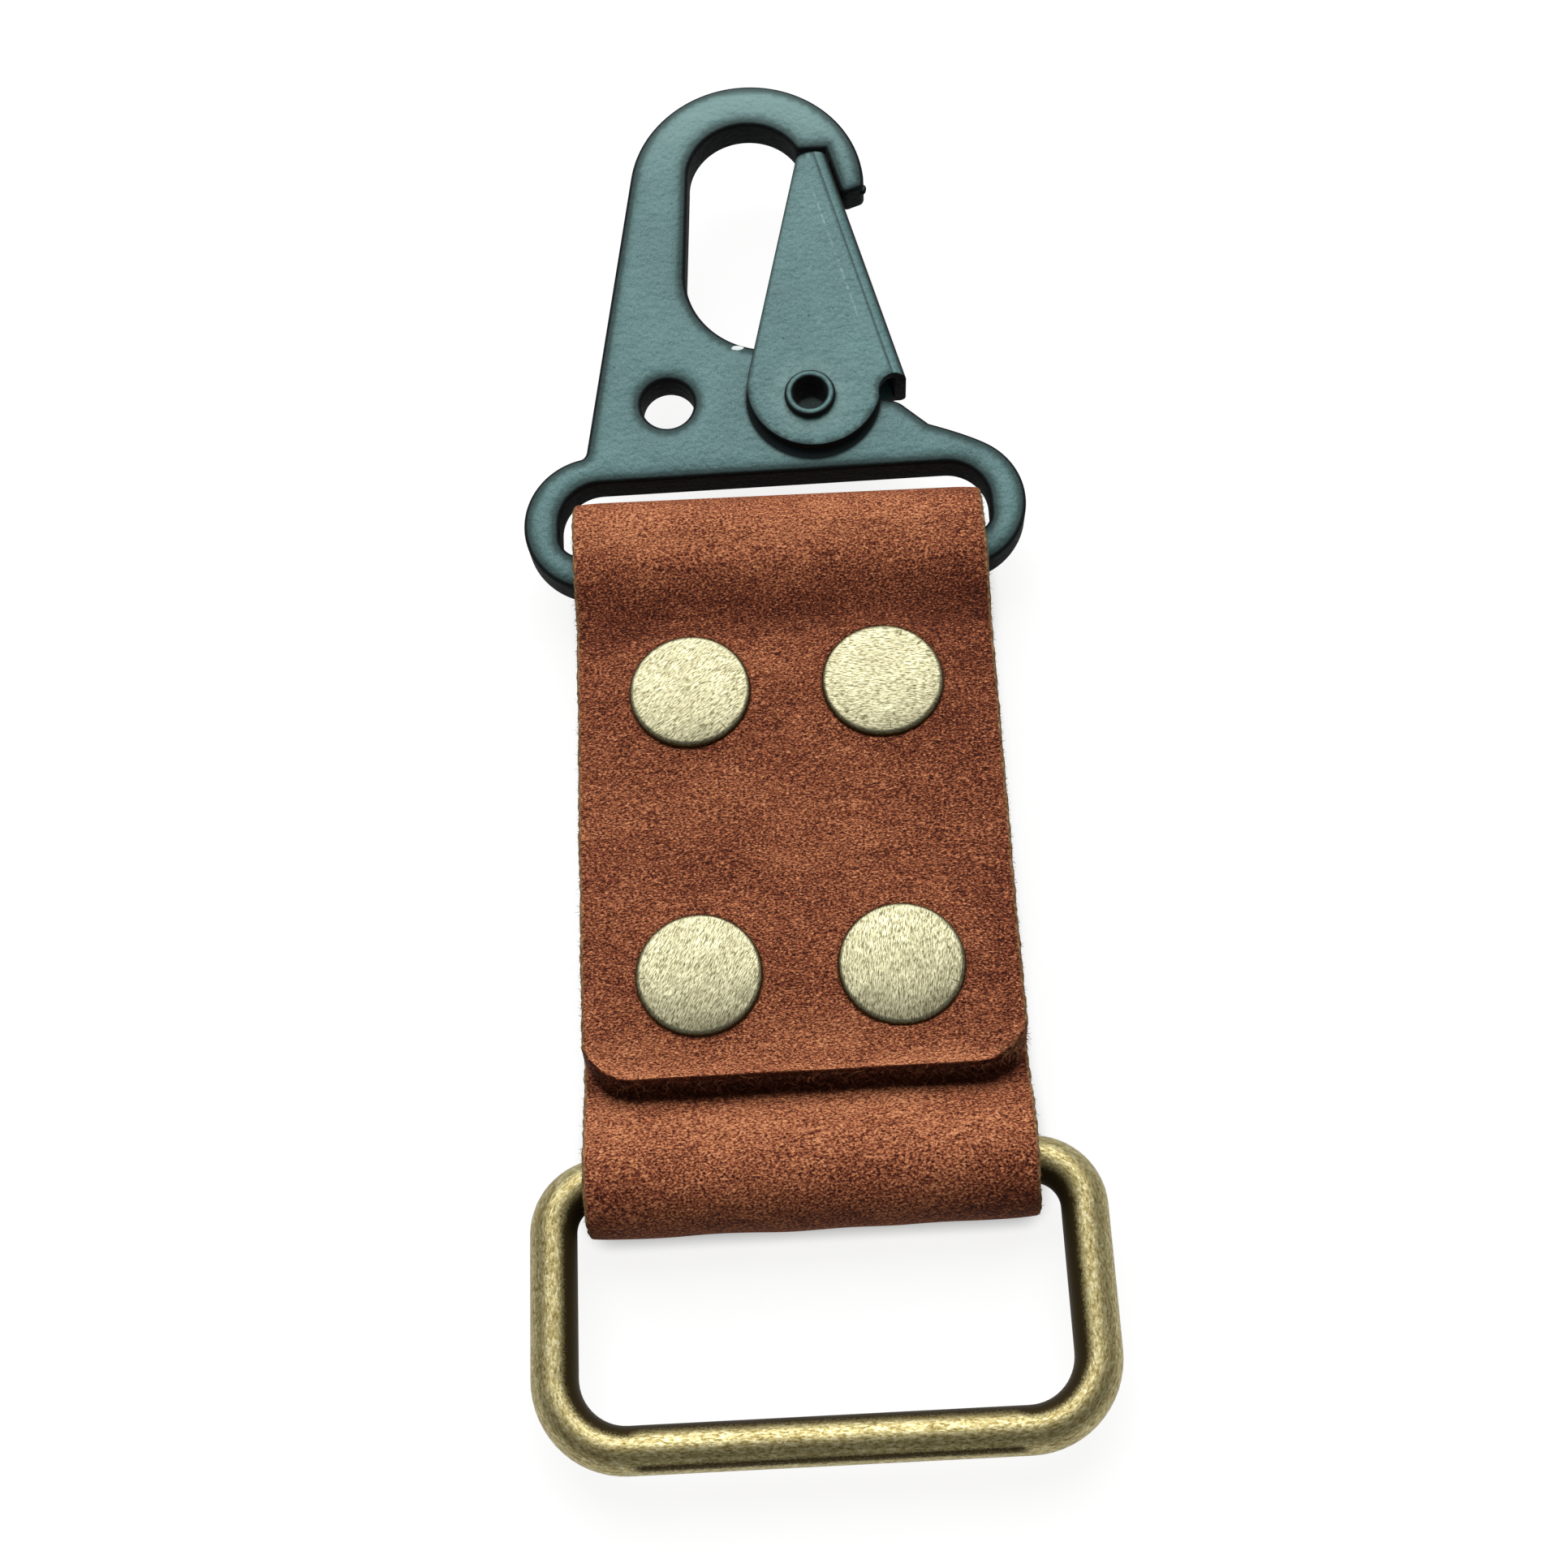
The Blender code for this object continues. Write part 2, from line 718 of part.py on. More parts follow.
def hole_cutter(axis):
    """Round hole with drafted walls that meet at a waist."""
    depth = plate_half + cut_overrun
    draft = (round_hole_radius - round_hole_waist_radius) / plate_half
    mouth = round_hole_waist_radius + draft * depth
    profile = [(0, depth), (mouth, depth), (round_hole_waist_radius, 0), (mouth, -depth), (0, -depth)]
    cutter = turned("round_hole", profile, None)
    return place(mark_cutter(cutter), (round_hole_x, round_hole_y, 0), axis)


def pocket_cutter(axis):
    """Pocket for the spring: a round well, a notch for one leg and a channel for the other."""
    cutter = flat_mesh("spring_pocket", [pocket_outline()], spring_pocket_depth + cut_overrun)
    height = plate_half - spring_pocket_depth / 2 + cut_overrun / 2
    return place(mark_cutter(cutter), (pivot_x, pivot_y, height), axis)


def pocket_outline():
    """Round well, a channel for the free leg's swing and a notch for the fixed leg."""
    reach = boss_radius + cut_overrun
    channel_start = spring_free_leg_deg - 90
    open_leg_deg = spring_free_leg_deg + gate_opening_deg
    points = []
    for angle, leg in ((channel_start, spring_free_leg_deg), (spring_channel_end_deg, open_leg_deg)):
        points.append(tuple(polar(spring_pocket_radius, angle) + polar(reach, leg)))
    notch_deg = math.degrees(math.atan2(*spring_fixed_end().to_2d().yx))
    notch_low = notch_deg - spring_notch_half_deg
    notch_high = notch_deg + spring_notch_half_deg
    points += arc((0, 0), spring_pocket_radius, spring_channel_end_deg, notch_low)
    points += arc((0, 0), spring_pocket_radius + spring_notch_reach, notch_low, notch_high)
    points += arc((0, 0), spring_pocket_radius, notch_high, channel_start + 360)
    return points


# Gate


def gate_outline():
    """Cheek of the gate with the back fold on its right: tip, back, relief and round foot."""
    foot = (gate_round_x, gate_round_y)
    tip_x = back_line_x(gate_tip_y)
    left_top = (tip_x - gate_tip_width, gate_tip_y - gate_tip_radius)
    back_foot = back_line_x(gate_foot_y)
    points = [(tip_x, gate_tip_y)]
    points += bend((tip_x - gate_tip_flat, gate_tip_y), (left_top[0], gate_tip_y), left_top, 4)
    points += arc(foot, gate_round_radius, gate_round_start_deg, gate_round_end_deg)
    relief = (back_foot - gate_relief_inset, gate_foot_y + gate_relief_rise - gate_relief_radius)
    points += arc(relief, gate_relief_radius, gate_relief_start_deg, 90)
    points.append((back_foot, gate_foot_y))
    return points


def channel_profile():
    """U section of the folded sheet, seen along the fold: back wall and two cheeks."""
    outer = cheek_front
    inner = cheek_front - gate_sheet
    reach = gate_round_radius * 2 + gate_back_distance
    inner_fold = gate_fold_radius - gate_sheet
    return rounded_polygon([
        (0, -outer, gate_fold_radius),
        (0, outer, gate_fold_radius),
        (-reach, outer, 0),
        (-reach, inner, 0),
        (-gate_sheet, inner, inner_fold),
        (-gate_sheet, -inner, inner_fold),
        (-reach, -inner, 0),
        (-reach, -outer, 0),
    ])


def build_gate(axis):
    """The gate: a folded channel, trimmed to the cheek's outline and pierced for the rivet."""
    hole = full_circle((pivot_x, pivot_y), barrel_radius + running_gap)
    blank = flat_mesh("gate_blank", [gate_outline(), hole], cheek_front * 2 + cut_overrun * 2)
    place(mark_cutter(blank), (-pivot_x, -pivot_y, 0), axis)
    length = gate_tip_y + gate_foot_y
    gate = flat_mesh("gate", [channel_profile()], length, "black_paint")
    lean = math.radians(gate_back_lean_deg())
    middle_y = (gate_tip_y + gate_foot_y) / 2
    location = (back_line_x(middle_y) - pivot_x, middle_y - pivot_y, 0)
    place(gate, location, axis, (math.pi / 2, 0, lean))
    cut(gate, blank, "INTERSECT")
    return gate


def build_gate_rivet(axis):
    """Tubular rivet through the cheeks and the plate, rolled over at both ends."""
    seat = cheek_front + metal_gap
    top = seat + flange_height
    roll = (flange_radius - barrel_bore_radius) / 2
    middle = (flange_radius + barrel_bore_radius) / 2
    roll_low = top - roll
    upper = [
        (barrel_bore_radius, roll_low),
        (middle - roll * flange_roll_share, top - roll * (1 - flange_roll_share)),
        (middle, top),
        (middle + roll * flange_roll_share, top - roll * (1 - flange_roll_share)),
        (flange_radius, roll_low),
        (flange_radius, seat),
        (barrel_radius, seat),
    ]
    lower = [(radius, -height) for radius, height in reversed(upper)]
    rivet = turned("gate_rivet", upper + lower, "black_paint", closed=True)
    return place(rivet, (pivot_x, pivot_y, 0), axis)


def spring_coil():
    """Points of the coil about the pivot; it ends where its free leg leaves at its angle."""
    sweep = spring_turns * 360
    start_deg = spring_free_leg_deg - 90 - sweep
    count = math.ceil(spring_turns * spring_steps)
    coil = []
    for step in range(count + 1):
        share = step / count
        turn = polar(spring_mean_radius, start_deg + sweep * share)
        coil.append(Vector((*turn, spring_pitch * spring_turns * share)))
    return coil


def spring_fixed_end():
    """End of the fixed leg, which runs straight back from the coil's start."""
    start = spring_coil()[0]
    return start + Vector((start.y, -start.x, 0)).normalized() * spring_fixed_leg


def build_spring(axis):
    """Torsion spring round the rivet: one leg in the plate's notch, one on the gate's back."""
    coil = spring_coil()
    back = gate_back_distance - gate_sheet - spring_wire / 2 - closing_gap
    back_normal = polar(1, gate_back_lean_deg())
    free_leg = polar(1, spring_free_leg_deg)
    free_length = (back - coil[-1].to_2d().dot(back_normal)) / free_leg.dot(back_normal)
    free_end = coil[-1] + (free_leg * free_length).to_3d()
    points = [spring_fixed_end(), *coil, free_end]
    spring = tube("gate_spring", points, spring_wire / 2, "steel", resolution=1)
    base = plate_half - spring_pocket_depth + spring_wire / 2 + metal_gap
    return place(spring, (pivot_x, pivot_y, base), axis)


def main():
    clear_scene()
    build_strap()
    for index, (x, y) in enumerate(rivet_places(), start=1):
        build_rivet(index, x, y)
    ring_axis = make_axis("ring_axis", (0, frame_shift_y, ring_axis_z))
    build_ring(ring_axis)
    hook_place = (hook_side_shift, frame_shift_y + hook_axis_y, hook_axis_z)
    hook_axis = make_axis("hook_axis", hook_place, rotation=(lift, 0, 0))
    build_hook_plate(hook_axis)
    build_gate_rivet(hook_axis)
    build_spring(hook_axis)
    gate_axis = make_axis("gate_axis", (pivot_x, pivot_y, 0), hook_axis)
    build_gate(gate_axis)


main()
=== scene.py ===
"""Looks of the leather key ring holder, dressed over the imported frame.

Lengths are in millimetres here and become metres when a mesh is made. Y of the holder is
counted from the axis of the ring's bar, and the hook's pieces from the axis of its own bar.
"""

import math
import random

import bmesh
import bpy
import numpy as np
from mathutils import Matrix, Vector, noise
from mathutils.geometry import delaunay_2d_cdt


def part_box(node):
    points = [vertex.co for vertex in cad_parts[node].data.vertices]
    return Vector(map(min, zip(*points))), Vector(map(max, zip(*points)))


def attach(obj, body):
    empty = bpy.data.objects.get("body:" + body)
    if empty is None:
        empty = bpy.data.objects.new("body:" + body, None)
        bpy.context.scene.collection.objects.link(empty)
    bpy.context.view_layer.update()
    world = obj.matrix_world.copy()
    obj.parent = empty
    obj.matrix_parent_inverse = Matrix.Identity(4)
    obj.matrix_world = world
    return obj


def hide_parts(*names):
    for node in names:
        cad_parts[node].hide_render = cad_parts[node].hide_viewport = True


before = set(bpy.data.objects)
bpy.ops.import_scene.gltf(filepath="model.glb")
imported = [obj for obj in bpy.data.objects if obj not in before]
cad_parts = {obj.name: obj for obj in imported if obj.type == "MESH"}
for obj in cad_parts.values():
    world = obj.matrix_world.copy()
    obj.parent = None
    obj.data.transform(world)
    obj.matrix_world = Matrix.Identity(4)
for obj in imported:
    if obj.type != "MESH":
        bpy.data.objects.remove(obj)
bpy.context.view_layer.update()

MM = 0.001
SEED = 11
# Distances under which vertices are one, and lie on a level face
WELD = 0.0005
LEVEL = 0.001

# Strap
strap_width = 31.5
leather = 2.1
layer_gap = 0.12
flap_corner = 3.2
corner_power = 1.55
flap_lift = 0.75
flap_lift_length = 4.2
lower_rivets_y = 13.55
upper_rivets_y = 35.8
hook_axis_y = 47.36
flap_overhang = 7.85
middle_overhang = 5.7
flap_end_y = lower_rivets_y - flap_overhang
middle_end_y = upper_rivets_y + middle_overhang
strap_x = -0.3
rivet_half = 7.2
rivet_hole_radius = 1.9
rivet_hole_cutter = 30
edge_corner = 0.28
section_wall = 5
section_across = 92
cap_radius = 4.54
cap_height = 0.95
cap_crown = 0.24
cap_shoulder = 0.38
cap_lip = 0.28
cap_turns = (38, -3, 62, 82)
sharp_deg = 50
leather_gap = 0.15
half_leather = leather / 2
back_z = cap_height + leather_gap + half_leather
middle_z = back_z + leather + layer_gap
front_z = middle_z + leather + layer_gap
strap_back_z = back_z - half_leather
strap_front_z = front_z + half_leather

# Loops
wire_radius = 1.65
bar_half = 1.5
plate_half = 1.6
loop_play = 0.3
ring_loop_rise = 0.05
ring_loop_margin = 0.81
hook_loop_rise = 0.6
hook_loop_slack = 0.79
hook_loop_straight = 1.65
hook_loop_margin = 0.16
ring_line = wire_radius + loop_play + half_leather
ring_z = ring_line + half_leather + ring_loop_rise
ring_loop_end_y = lower_rivets_y - cap_radius - ring_loop_margin
hook_line = math.hypot(bar_half, plate_half) + loop_play + half_leather
hook_z = hook_line + half_leather + hook_loop_rise
hook_loop_y = hook_axis_y + hook_loop_slack
hook_loop_low_y = hook_loop_y - hook_loop_straight
hook_loop_foot_y = upper_rivets_y + cap_radius + hook_loop_margin
loop_slack_right = 0.14
loop_slack_left = 0.7

# Wear and swelling of the leather
cap_ridge = 0.42
cap_ridge_reach = 1.5
cap_press = 0.06
cap_step = 0.36
cap_step_width = 0.05
cap_step_end = 0.25
flap_rim_rise = 0.1
flap_rim_reach = 0.6
# The flap's raised rim is paler: a burnished edge, also painted as its highlight
flap_rim_tone = 0.13
flap_rim_tone_reach = 0.9
edge_wave = 0.1
edge_wave_scale = 0.12
edge_ripple = 0.04
edge_ripple_scale = 0.9
edge_wave_start = 8
edge_fuzz = 0.1
edge_fuzz_scale = 3
edge_droop = 0.12
edge_droop_width = 2.2
level_slope = 0.35
back_slope = -0.5
back_swelling = 0.9
# Swelling noise: scale, seed and height
flap_swell = (0.16, 2.0, 0.07)
return_swell = (0.2, 5.0, 0.06)
return_swell_end_y = 9
# Noises of the ragged ends: scale across, scale in depth, seed and height
ragged_waves = ((2.2, 3, 4.0, 0.2), (5, 9, 8.0, 0.16))
end_tone = 0.42
worn_reach = 2.2
worn_fade = 1.4
side_fibres = 2000
end_fibres = 3000
corner_fibres = 170
bold_fibre_every = 14
# Share of the radius along a fibre
fibre_taper = (1, 0.95, 0.85, 0.7, 0.55, 0.35, 0.12)
plain_tone = 0.52
# Painted light and shade along Y, as middle, reach and amount: paler on the loops where they face
# the light and a little near the flap's end, darker in the valley below the hook's loop and in the
# shadow under the flap's end
front_light_and_shade = ((48.2, 2.2, 0.14), (42.3, 2.8, -0.13), (7.0, 3.0, 0.06))
return_light_and_shade = ((2.2, 3.2, 0.15), (flap_end_y + 0.4, 1.3, -0.14))

# Ring
ring_side_play = 1.1
ring_half_width = (strap_width + ring_side_play * 2 + wire_radius * 2) / 2
ring_drop = 18.4
ring_upper_corner = 3.5
ring_lower_corner = 5.0
ring_sides = 36
ring_end_reach = 3
bar_patina_start = 0.42
bend_patina_start = 0.3
patina_run = 0.45
under_patina = 0.5
even_patina = 0.12
bend_patina = 0.2
# Painted reflection on the ring's lower bar: amount of its dark band, its lean and its width in
# degrees
dark_reflection_band = 0.95
band_lean_deg = 54
band_width_deg = 13

# Hook plate
hook_x = -0.58
hook_lift = math.radians(5.5)
plate_round = 0.48
plate_crown = 0.13
plate_crown_reach = 1.1
slot_side_play = 1
slot_half = strap_width / 2 + slot_side_play
slot_top = 7.5
slot_lower_corner = 1.6
slot_upper_corner = 3.3
lug_radius = 5.65
lug_wall = 2.8
lug_end_deg = 58
left_lug_start_deg = 101
lug_x = slot_half + lug_wall - lug_radius
lug_y = lug_radius - bar_half
slope_foot_inset = 1.45
slope_foot_rise = 1.15
slope_run = 1.7
shoulder_width = 1.4
shoulder_drop = 0.25
shoulder_round = 0.6
neck_offset = 0.6
neck_height = 0.55
neck_lean = 0.1
pivot = (3.3, 13.4)
pivot_bore_radius = 1.7
boss_radius = 5.4
round_hole = (-8.0, 14.0)
round_hole_radius = 2.07
eye_foot = (0.6, 25.1)
eye_foot_radius = 6.8
eye_foot_end_deg = 176
eye_top = (-0.92, 34.1)
eye_top_radius = 4.75
head = (-0.9, 33.05)
head_radius = 9.55
gate_tip_y = 35.3
notch_y = 36.2
nose_end_y = 31.8
nose_slant = 0.6
nose_width = 1.84
nose_round = 0.55
nose_blend_deg = 6
lip_blend_deg = 7
nose_in_x = head[0] + head_radius - nose_width

# Gate and its rivet
cheek_front = 2.5
gate_sheet = 0.8
gate_back = 7.75
gate_fold = 1.0
gate_inner_fold = 0.2
gate_edge_round = 0.24
gate_crown = 0.06
gate_crown_reach = 0.8
gate_bore_radius = 1.72
gate_tip_width = 2.55
gate_tip_radius = 0.95
gate_tip_flat = 0.9
gate_relief_inset = 0.75
gate_relief_rise = 0.15
gate_relief_radius = 1.5
closing_gap = 0.2
metal_gap = 0.05
cutter_reach = 1
barrel_radius = 1.65
rivet_roll = 0.35
rivet_head_height = 0.6
rivet_head_foot = 0.06
rivet_head_radius = 2.0
# Reach of the painted light in the lower bore of the gate's rivet
bore_light_radius = 1.4
crease_start = (4.34, 32.2)
crease_end = (7.55, 19.7)
halo_radius = 3.7
halo_inner_radius = 2.3
# Painted glint on the rim at the bottom of the eye, a small pale patch squashed across
glint = (-2.24, 18.5)
glint_squash = 2.2
gate_foot_y = pivot[1] + 1.4
gate_round = (pivot[0] + 0.35, pivot[1] + 1.0)
gate_round_radius = 5.25
# Middle of the painted shadow that the gate's round foot casts on the plate
foot_shadow_middle = (gate_round[0] - 0.1, gate_round[1] - 0.75)

# Painted shade, dark along the edges where the rounding turns from the light, but not along the
# gate's fold
edge_shade = 0.13
edge_shade_reach = 0.17
edge_shade_depth = 0.3
fold_light_width = 1.7

# Torsion spring in its pocket in the plate's front
spring_wire = 0.45
spring_turns = 2.375
spring_mean = 2.45
spring_pitch = spring_wire + 0.1
spring_depth = spring_pitch * spring_turns + spring_wire + 0.1
free_leg_deg = 40
fixed_leg = 2.7
spring_steps = 40
gate_opening_deg = 28
pocket_radius = spring_mean + spring_wire / 2 + 0.375
notch_reach = 1.1
notch_half_deg = 18.5
channel_end_deg = 35

# Surroundings: the camera's turn in degrees about X, Y and Z, and its sizes in pixels
floor_half = 9000
floor_drop = 0.02
camera_turn = (-22.999, -2.577, 2.563)
camera_shift = (0.544, 0, -173.969)
camera_scale = 0.984
camera_aim_y = 28.05
sensor_width = 36
focal_pixels = 2870
photo_pixels = 1932
key_tilt = math.radians(35)

ring_axis_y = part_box("ring")[1].y / MM - wire_radius
HOLDER = Matrix.Translation((0, ring_axis_y, 0))
HOOK = Matrix.Translation((hook_x, ring_axis_y + hook_axis_y, hook_z))
HOOK = HOOK @ Matrix.Rotation(hook_lift, 4, "X")


# ---------------------------------------------------------------- shapes

def arc(center, radius, start, end, step=3.0):
    """Points on an arc from one angle to another, in degrees."""
    count = max(1, math.ceil(abs(end - start) / step))
    angles = np.radians(np.linspace(start, end, count + 1))
    return [(center[0] + radius * math.cos(a), center[1] + radius * math.sin(a)) for a in angles]


def circle_point(center, radius, degrees):
    turn = math.radians(degrees)
    return (center[0] + radius * math.cos(turn), center[1] + radius * math.sin(turn))


def circle(center, radius, step=3.0):
    """Closed outline of a bore."""
    return arc(center, radius, 0, 360, step)[:-1]


def bend(start, corner, end, steps=12):
    """A smooth bend from start to end that leans into the corner."""
    shares = np.linspace(0, 1, steps + 1)
    return [tuple((1 - t) ** 2 * np.array(start) + 2 * t * (1 - t) * np.array(corner)
                  + t * t * np.array(end)) for t in shares]


def fillet(before, corner, after, radius, step=6.0):
    """Arc that rounds a corner between two straight runs."""
    corner = Vector(corner)
    back = (Vector(before) - corner).normalized()
    on = (Vector(after) - corner).normalized()
    half = back.angle(on) / 2
    center = corner + (back + on).normalized() * radius / math.sin(half)
    start = corner + back * radius / math.tan(half) - center
    end = corner + on * radius / math.tan(half) - center
    first = math.degrees(math.atan2(start.y, start.x))
    turn = (math.degrees(math.atan2(end.y, end.x)) - first + 180) % 360 - 180
    return arc(center, radius, first, first + turn, step)


def rounded_polygon(corners):
    """Closed outline through corners (x, y, radius)."""
    points = []
    for index, (x, y, radius) in enumerate(corners):
        after = corners[(index + 1) % len(corners)]
        points += fillet(corners[index - 1][:2], (x, y), after[:2], radius) if radius else [(x, y)]
    return points


def new_object(name, data):
    item = bpy.data.objects.new(name, data)
    bpy.context.scene.collection.objects.link(item)
    return item


def mesh_object(name, verts, faces, matrix=HOLDER, smooth=True):
    """An object in the row frame from points in millimetres in a frame of their own."""
    mesh = bpy.data.meshes.new(name)
    placed = np.asarray(verts, float) @ np.array(matrix.to_3x3()).T + np.array(matrix.translation)
    mesh.from_pydata((placed * MM).tolist(), [], [list(face) for face in faces])
    item = new_object(name, mesh)
    if smooth:
        mesh.shade_smooth()
    return item


def set_values(item, name, values):
    """Store one number or one vector per vertex."""
    values = np.asarray(values, np.float32)
    kind, key = ("FLOAT", "value") if values.ndim == 1 else ("FLOAT_VECTOR", "vector")
    attribute = item.data.attributes.new(name, kind, "POINT")
    attribute.data.foreach_set(key, values.ravel())


def set_all_values(item, values):
    """Store several lists of values, each under its name."""
    for name, rows in values.items():
        set_values(item, name, rows)


def dress(item, material, body, slot, *nodes):
    """Give a piece its material and its body, and hide the solids it stands for; the slot is not
    used.
    """
    item.data.materials.clear()
    item.data.materials.append(material)
    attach(item, body)
    if nodes:
        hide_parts(*nodes)


def evaluated(item):
    """The item with its modifiers or its curve turned into one mesh."""
    bpy.context.view_layer.update()
    shaped = item.evaluated_get(bpy.context.evaluated_depsgraph_get())
    mesh = bpy.data.meshes.new_from_object(shaped)
    matrix = item.matrix_world.copy()
    name = item.name
    bpy.data.objects.remove(item, do_unlink=True)
    result = new_object(name, mesh)
    result.matrix_world = matrix
    return result


def weld(item, distance, outward=False):
    """Join vertices closer than a distance, and turn the faces outward where asked."""
    shape = bmesh.new()
    shape.from_mesh(item.data)
    bmesh.ops.remove_doubles(shape, verts=shape.verts, dist=distance)
    if outward:
        bmesh.ops.recalc_face_normals(shape, faces=shape.faces)
    shape.to_mesh(item.data)
    shape.free()
    return item


def flat_piece(name, outlines, thickness, edge_round=0.0, segments=4):
    """A flat piece in its own frame: outlines, the inner ones holes, with rounded edges."""
    curve = bpy.data.curves.new(name, "CURVE")
    curve.dimensions = "2D"
    curve.fill_mode = "BOTH"
    curve.extrude = thickness / 2 - edge_round
    curve.bevel_depth = edge_round
    curve.bevel_resolution = segments
    curve.offset = -edge_round
    for outline in outlines:
        spline = curve.splines.new("POLY")
        spline.points.add(len(outline) - 1)
        for point, (x, y) in zip(spline.points, outline):
            point.co = (x, y, 0, 1)
        spline.use_cyclic_u = True
    return weld(evaluated(new_object(name, curve)), WELD)


def cut_out(item, cutter, operation="DIFFERENCE"):
    """The item less the cutter's shape, or what both share; the cutter goes away."""
    cut = item.modifiers.new("cut", "BOOLEAN")
    cut.object = cutter
    cut.operation = operation
    cut.solver = "EXACT"
    item = evaluated(item)
    bpy.data.objects.remove(cutter, do_unlink=True)
    return item


def edge_distance(points, starts, ends):
    """Distance of each flat point to the nearest edge, and whether it is inside the outlines."""
    nearest = np.full(len(points), np.inf)
    inside = np.zeros(len(points), bool)
    for a, b in zip(starts, ends):
        run = b - a
        share = np.clip(((points - a) @ run) / max(run @ run, 1e-12), 0, 1)
        nearest = np.minimum(nearest, np.hypot(*(points - a - share[:, None] * run).T))
        if a[1] != b[1]:
            crosses = (points[:, 1] > min(a[1], b[1])) & (points[:, 1] <= max(a[1], b[1]))
            at = a[0] + (points[:, 1] - a[1]) / run[1] * run[0]
            inside ^= crosses & (points[:, 0] < at)
    return nearest, inside


def ease_level(item, height, edge_round, crown, reach, spacing=0.45, margin=0.45):
    """Give the level faces at plus and minus a height a fine mesh that falls away to its edges."""
    shape = bmesh.new()
    shape.from_mesh(item.data)
    for z in (height, -height):
        level = [f for f in shape.faces if all(abs(v.co.z - z) < LEVEL for v in f.verts)]
        known = set(level)
        rim = [e for e in shape.edges if sum(f in known for f in e.link_faces) == 1]
        corners = list(dict.fromkeys(v for edge in rim for v in edge.verts))
        number = {v: index for index, v in enumerate(corners)}
        links = [tuple(number[v] for v in edge.verts) for edge in rim]
        flat = np.array([v.co.xy for v in corners])
        starts, ends = (flat[[link[k] for link in links]] for k in (0, 1))
        bmesh.ops.delete(shape, geom=level, context="FACES")
        low, high = flat.min(0), flat.max(0)
        columns, rows = (np.arange(a + spacing / 2, b, spacing) for a, b in zip(low, high))
        grid = np.array([(x + (j % 2) * spacing / 2, y)
                         for j, y in enumerate(rows) for x in columns])
        away, inside = edge_distance(grid, starts, ends)
        grid = grid[inside & (away > spacing * margin)]
        places = [Vector(p) for p in np.vstack((flat, grid))]
        points, _, triangles, *_ = delaunay_2d_cdt(places, links, [], 1, 1e-6)
        points = np.array([tuple(p) for p in points])
        _, kept = edge_distance(points[np.array(triangles)].mean(1), starts, ends)
        fresh = [shape.verts.new((x, y, z)) for x, y in points]
        for triangle, keep in zip(triangles, kept):
            if keep:
                shape.faces.new([fresh[k] for k in (triangle if z > 0 else triangle[::-1])])
        bmesh.ops.remove_doubles(shape, verts=shape.verts, dist=WELD)
        loose = [v for v in shape.verts if not v.link_faces]
        bmesh.ops.delete(shape, geom=loose, context="VERTS")
    shape.verts.ensure_lookup_table()
    level = [v for v in shape.verts if abs(abs(v.co.z) - height) < LEVEL]
    away, _ = edge_distance(np.array([v.co.xy for v in level]), starts, ends)
    for vertex in shape.verts:
        share = (abs(vertex.co.z) - height + edge_round) / edge_round
        if 0 < share < 0.99:
            vertex.co.z -= math.copysign(crown * share, vertex.co.z)
    for vertex, distance in zip(level, away):
        fall = crown * max(0.0, 1 - distance / reach) ** 2
        vertex.co.z -= math.copysign(fall, vertex.co.z)
    shape.to_mesh(item.data)
    shape.free()
    return starts, ends


def shade_edges(item, height, starts, ends, fold=False):
    """Lower the level value close to the edges: painted shade where the rounding turns from the
    light.
    """
    points = local_points(item, HOOK)
    values = np.empty(len(points), np.float32)
    face = item.data.attributes["face"].data
    face.foreach_get("value", values)
    away, inside = edge_distance(points[:, :2].astype(float), starts, ends)
    away[~inside] = 0
    free = points[:, 0] <= back_line_x(points[:, 1]) - fold_light_width if fold else 1
    dark = edge_shade * free * np.exp(-away / edge_shade_reach)
    values *= np.where(np.abs(points[:, 2]) > height - edge_shade_depth, 1 - dark, 1)
    face.foreach_set("value", values)


def place_mesh(item, matrix):
    """Move a mesh given in millimetres to its place in the row frame."""
    item.data.transform(Matrix.Scale(MM, 4) @ matrix)
    item.matrix_world = Matrix.Identity(4)
    return item


def vertex_values(item, key):
    """One vector per vertex of the mesh: its place or its normal."""
    values = np.empty(len(item.data.vertices) * 3, np.float32)
    item.data.vertices.foreach_get(key, values)
    return values.reshape(-1, 3)


def local_points(item, matrix):
    """Vertices in the millimetre frame the piece was drawn in."""
    inverse = np.array(matrix.inverted())
    return vertex_values(item, "co") / MM @ inverse[:3, :3].T + inverse[:3, 3]


def even_normals(item, angle=35):
    """Smooth shading that keeps the flats flat."""
    item.data.shade_smooth()
    item.data.set_sharp_from_angle(angle=math.radians(angle))
    modifier = item.modifiers.new("even_normals", "WEIGHTED_NORMAL")
    modifier.keep_sharp = True
    modifier.weight = 100
    return evaluated(item)


def revolve(profile, steps=96):
    """Vertices and faces of a profile (radius, height) spun about Z; it may end on the axis."""
    verts, faces, rows = [], [], []
    angles = np.linspace(0, 2 * np.pi, steps, endpoint=False)
    for radius, height in profile:
        start = len(verts)
        if radius < 1e-6:
            verts.append((0, 0, height))
            rows.append([start] * steps)
        else:
            verts += [(radius * math.cos(a), radius * math.sin(a), height) for a in angles]
            rows.append(list(range(start, start + steps)))
    for low, high in zip(rows, rows[1:]):
        for index in range(steps):
            after = (index + 1) % steps
            face = dict.fromkeys((low[index], high[index], high[after], low[after]))
            faces.append(tuple(face))
    return verts, faces


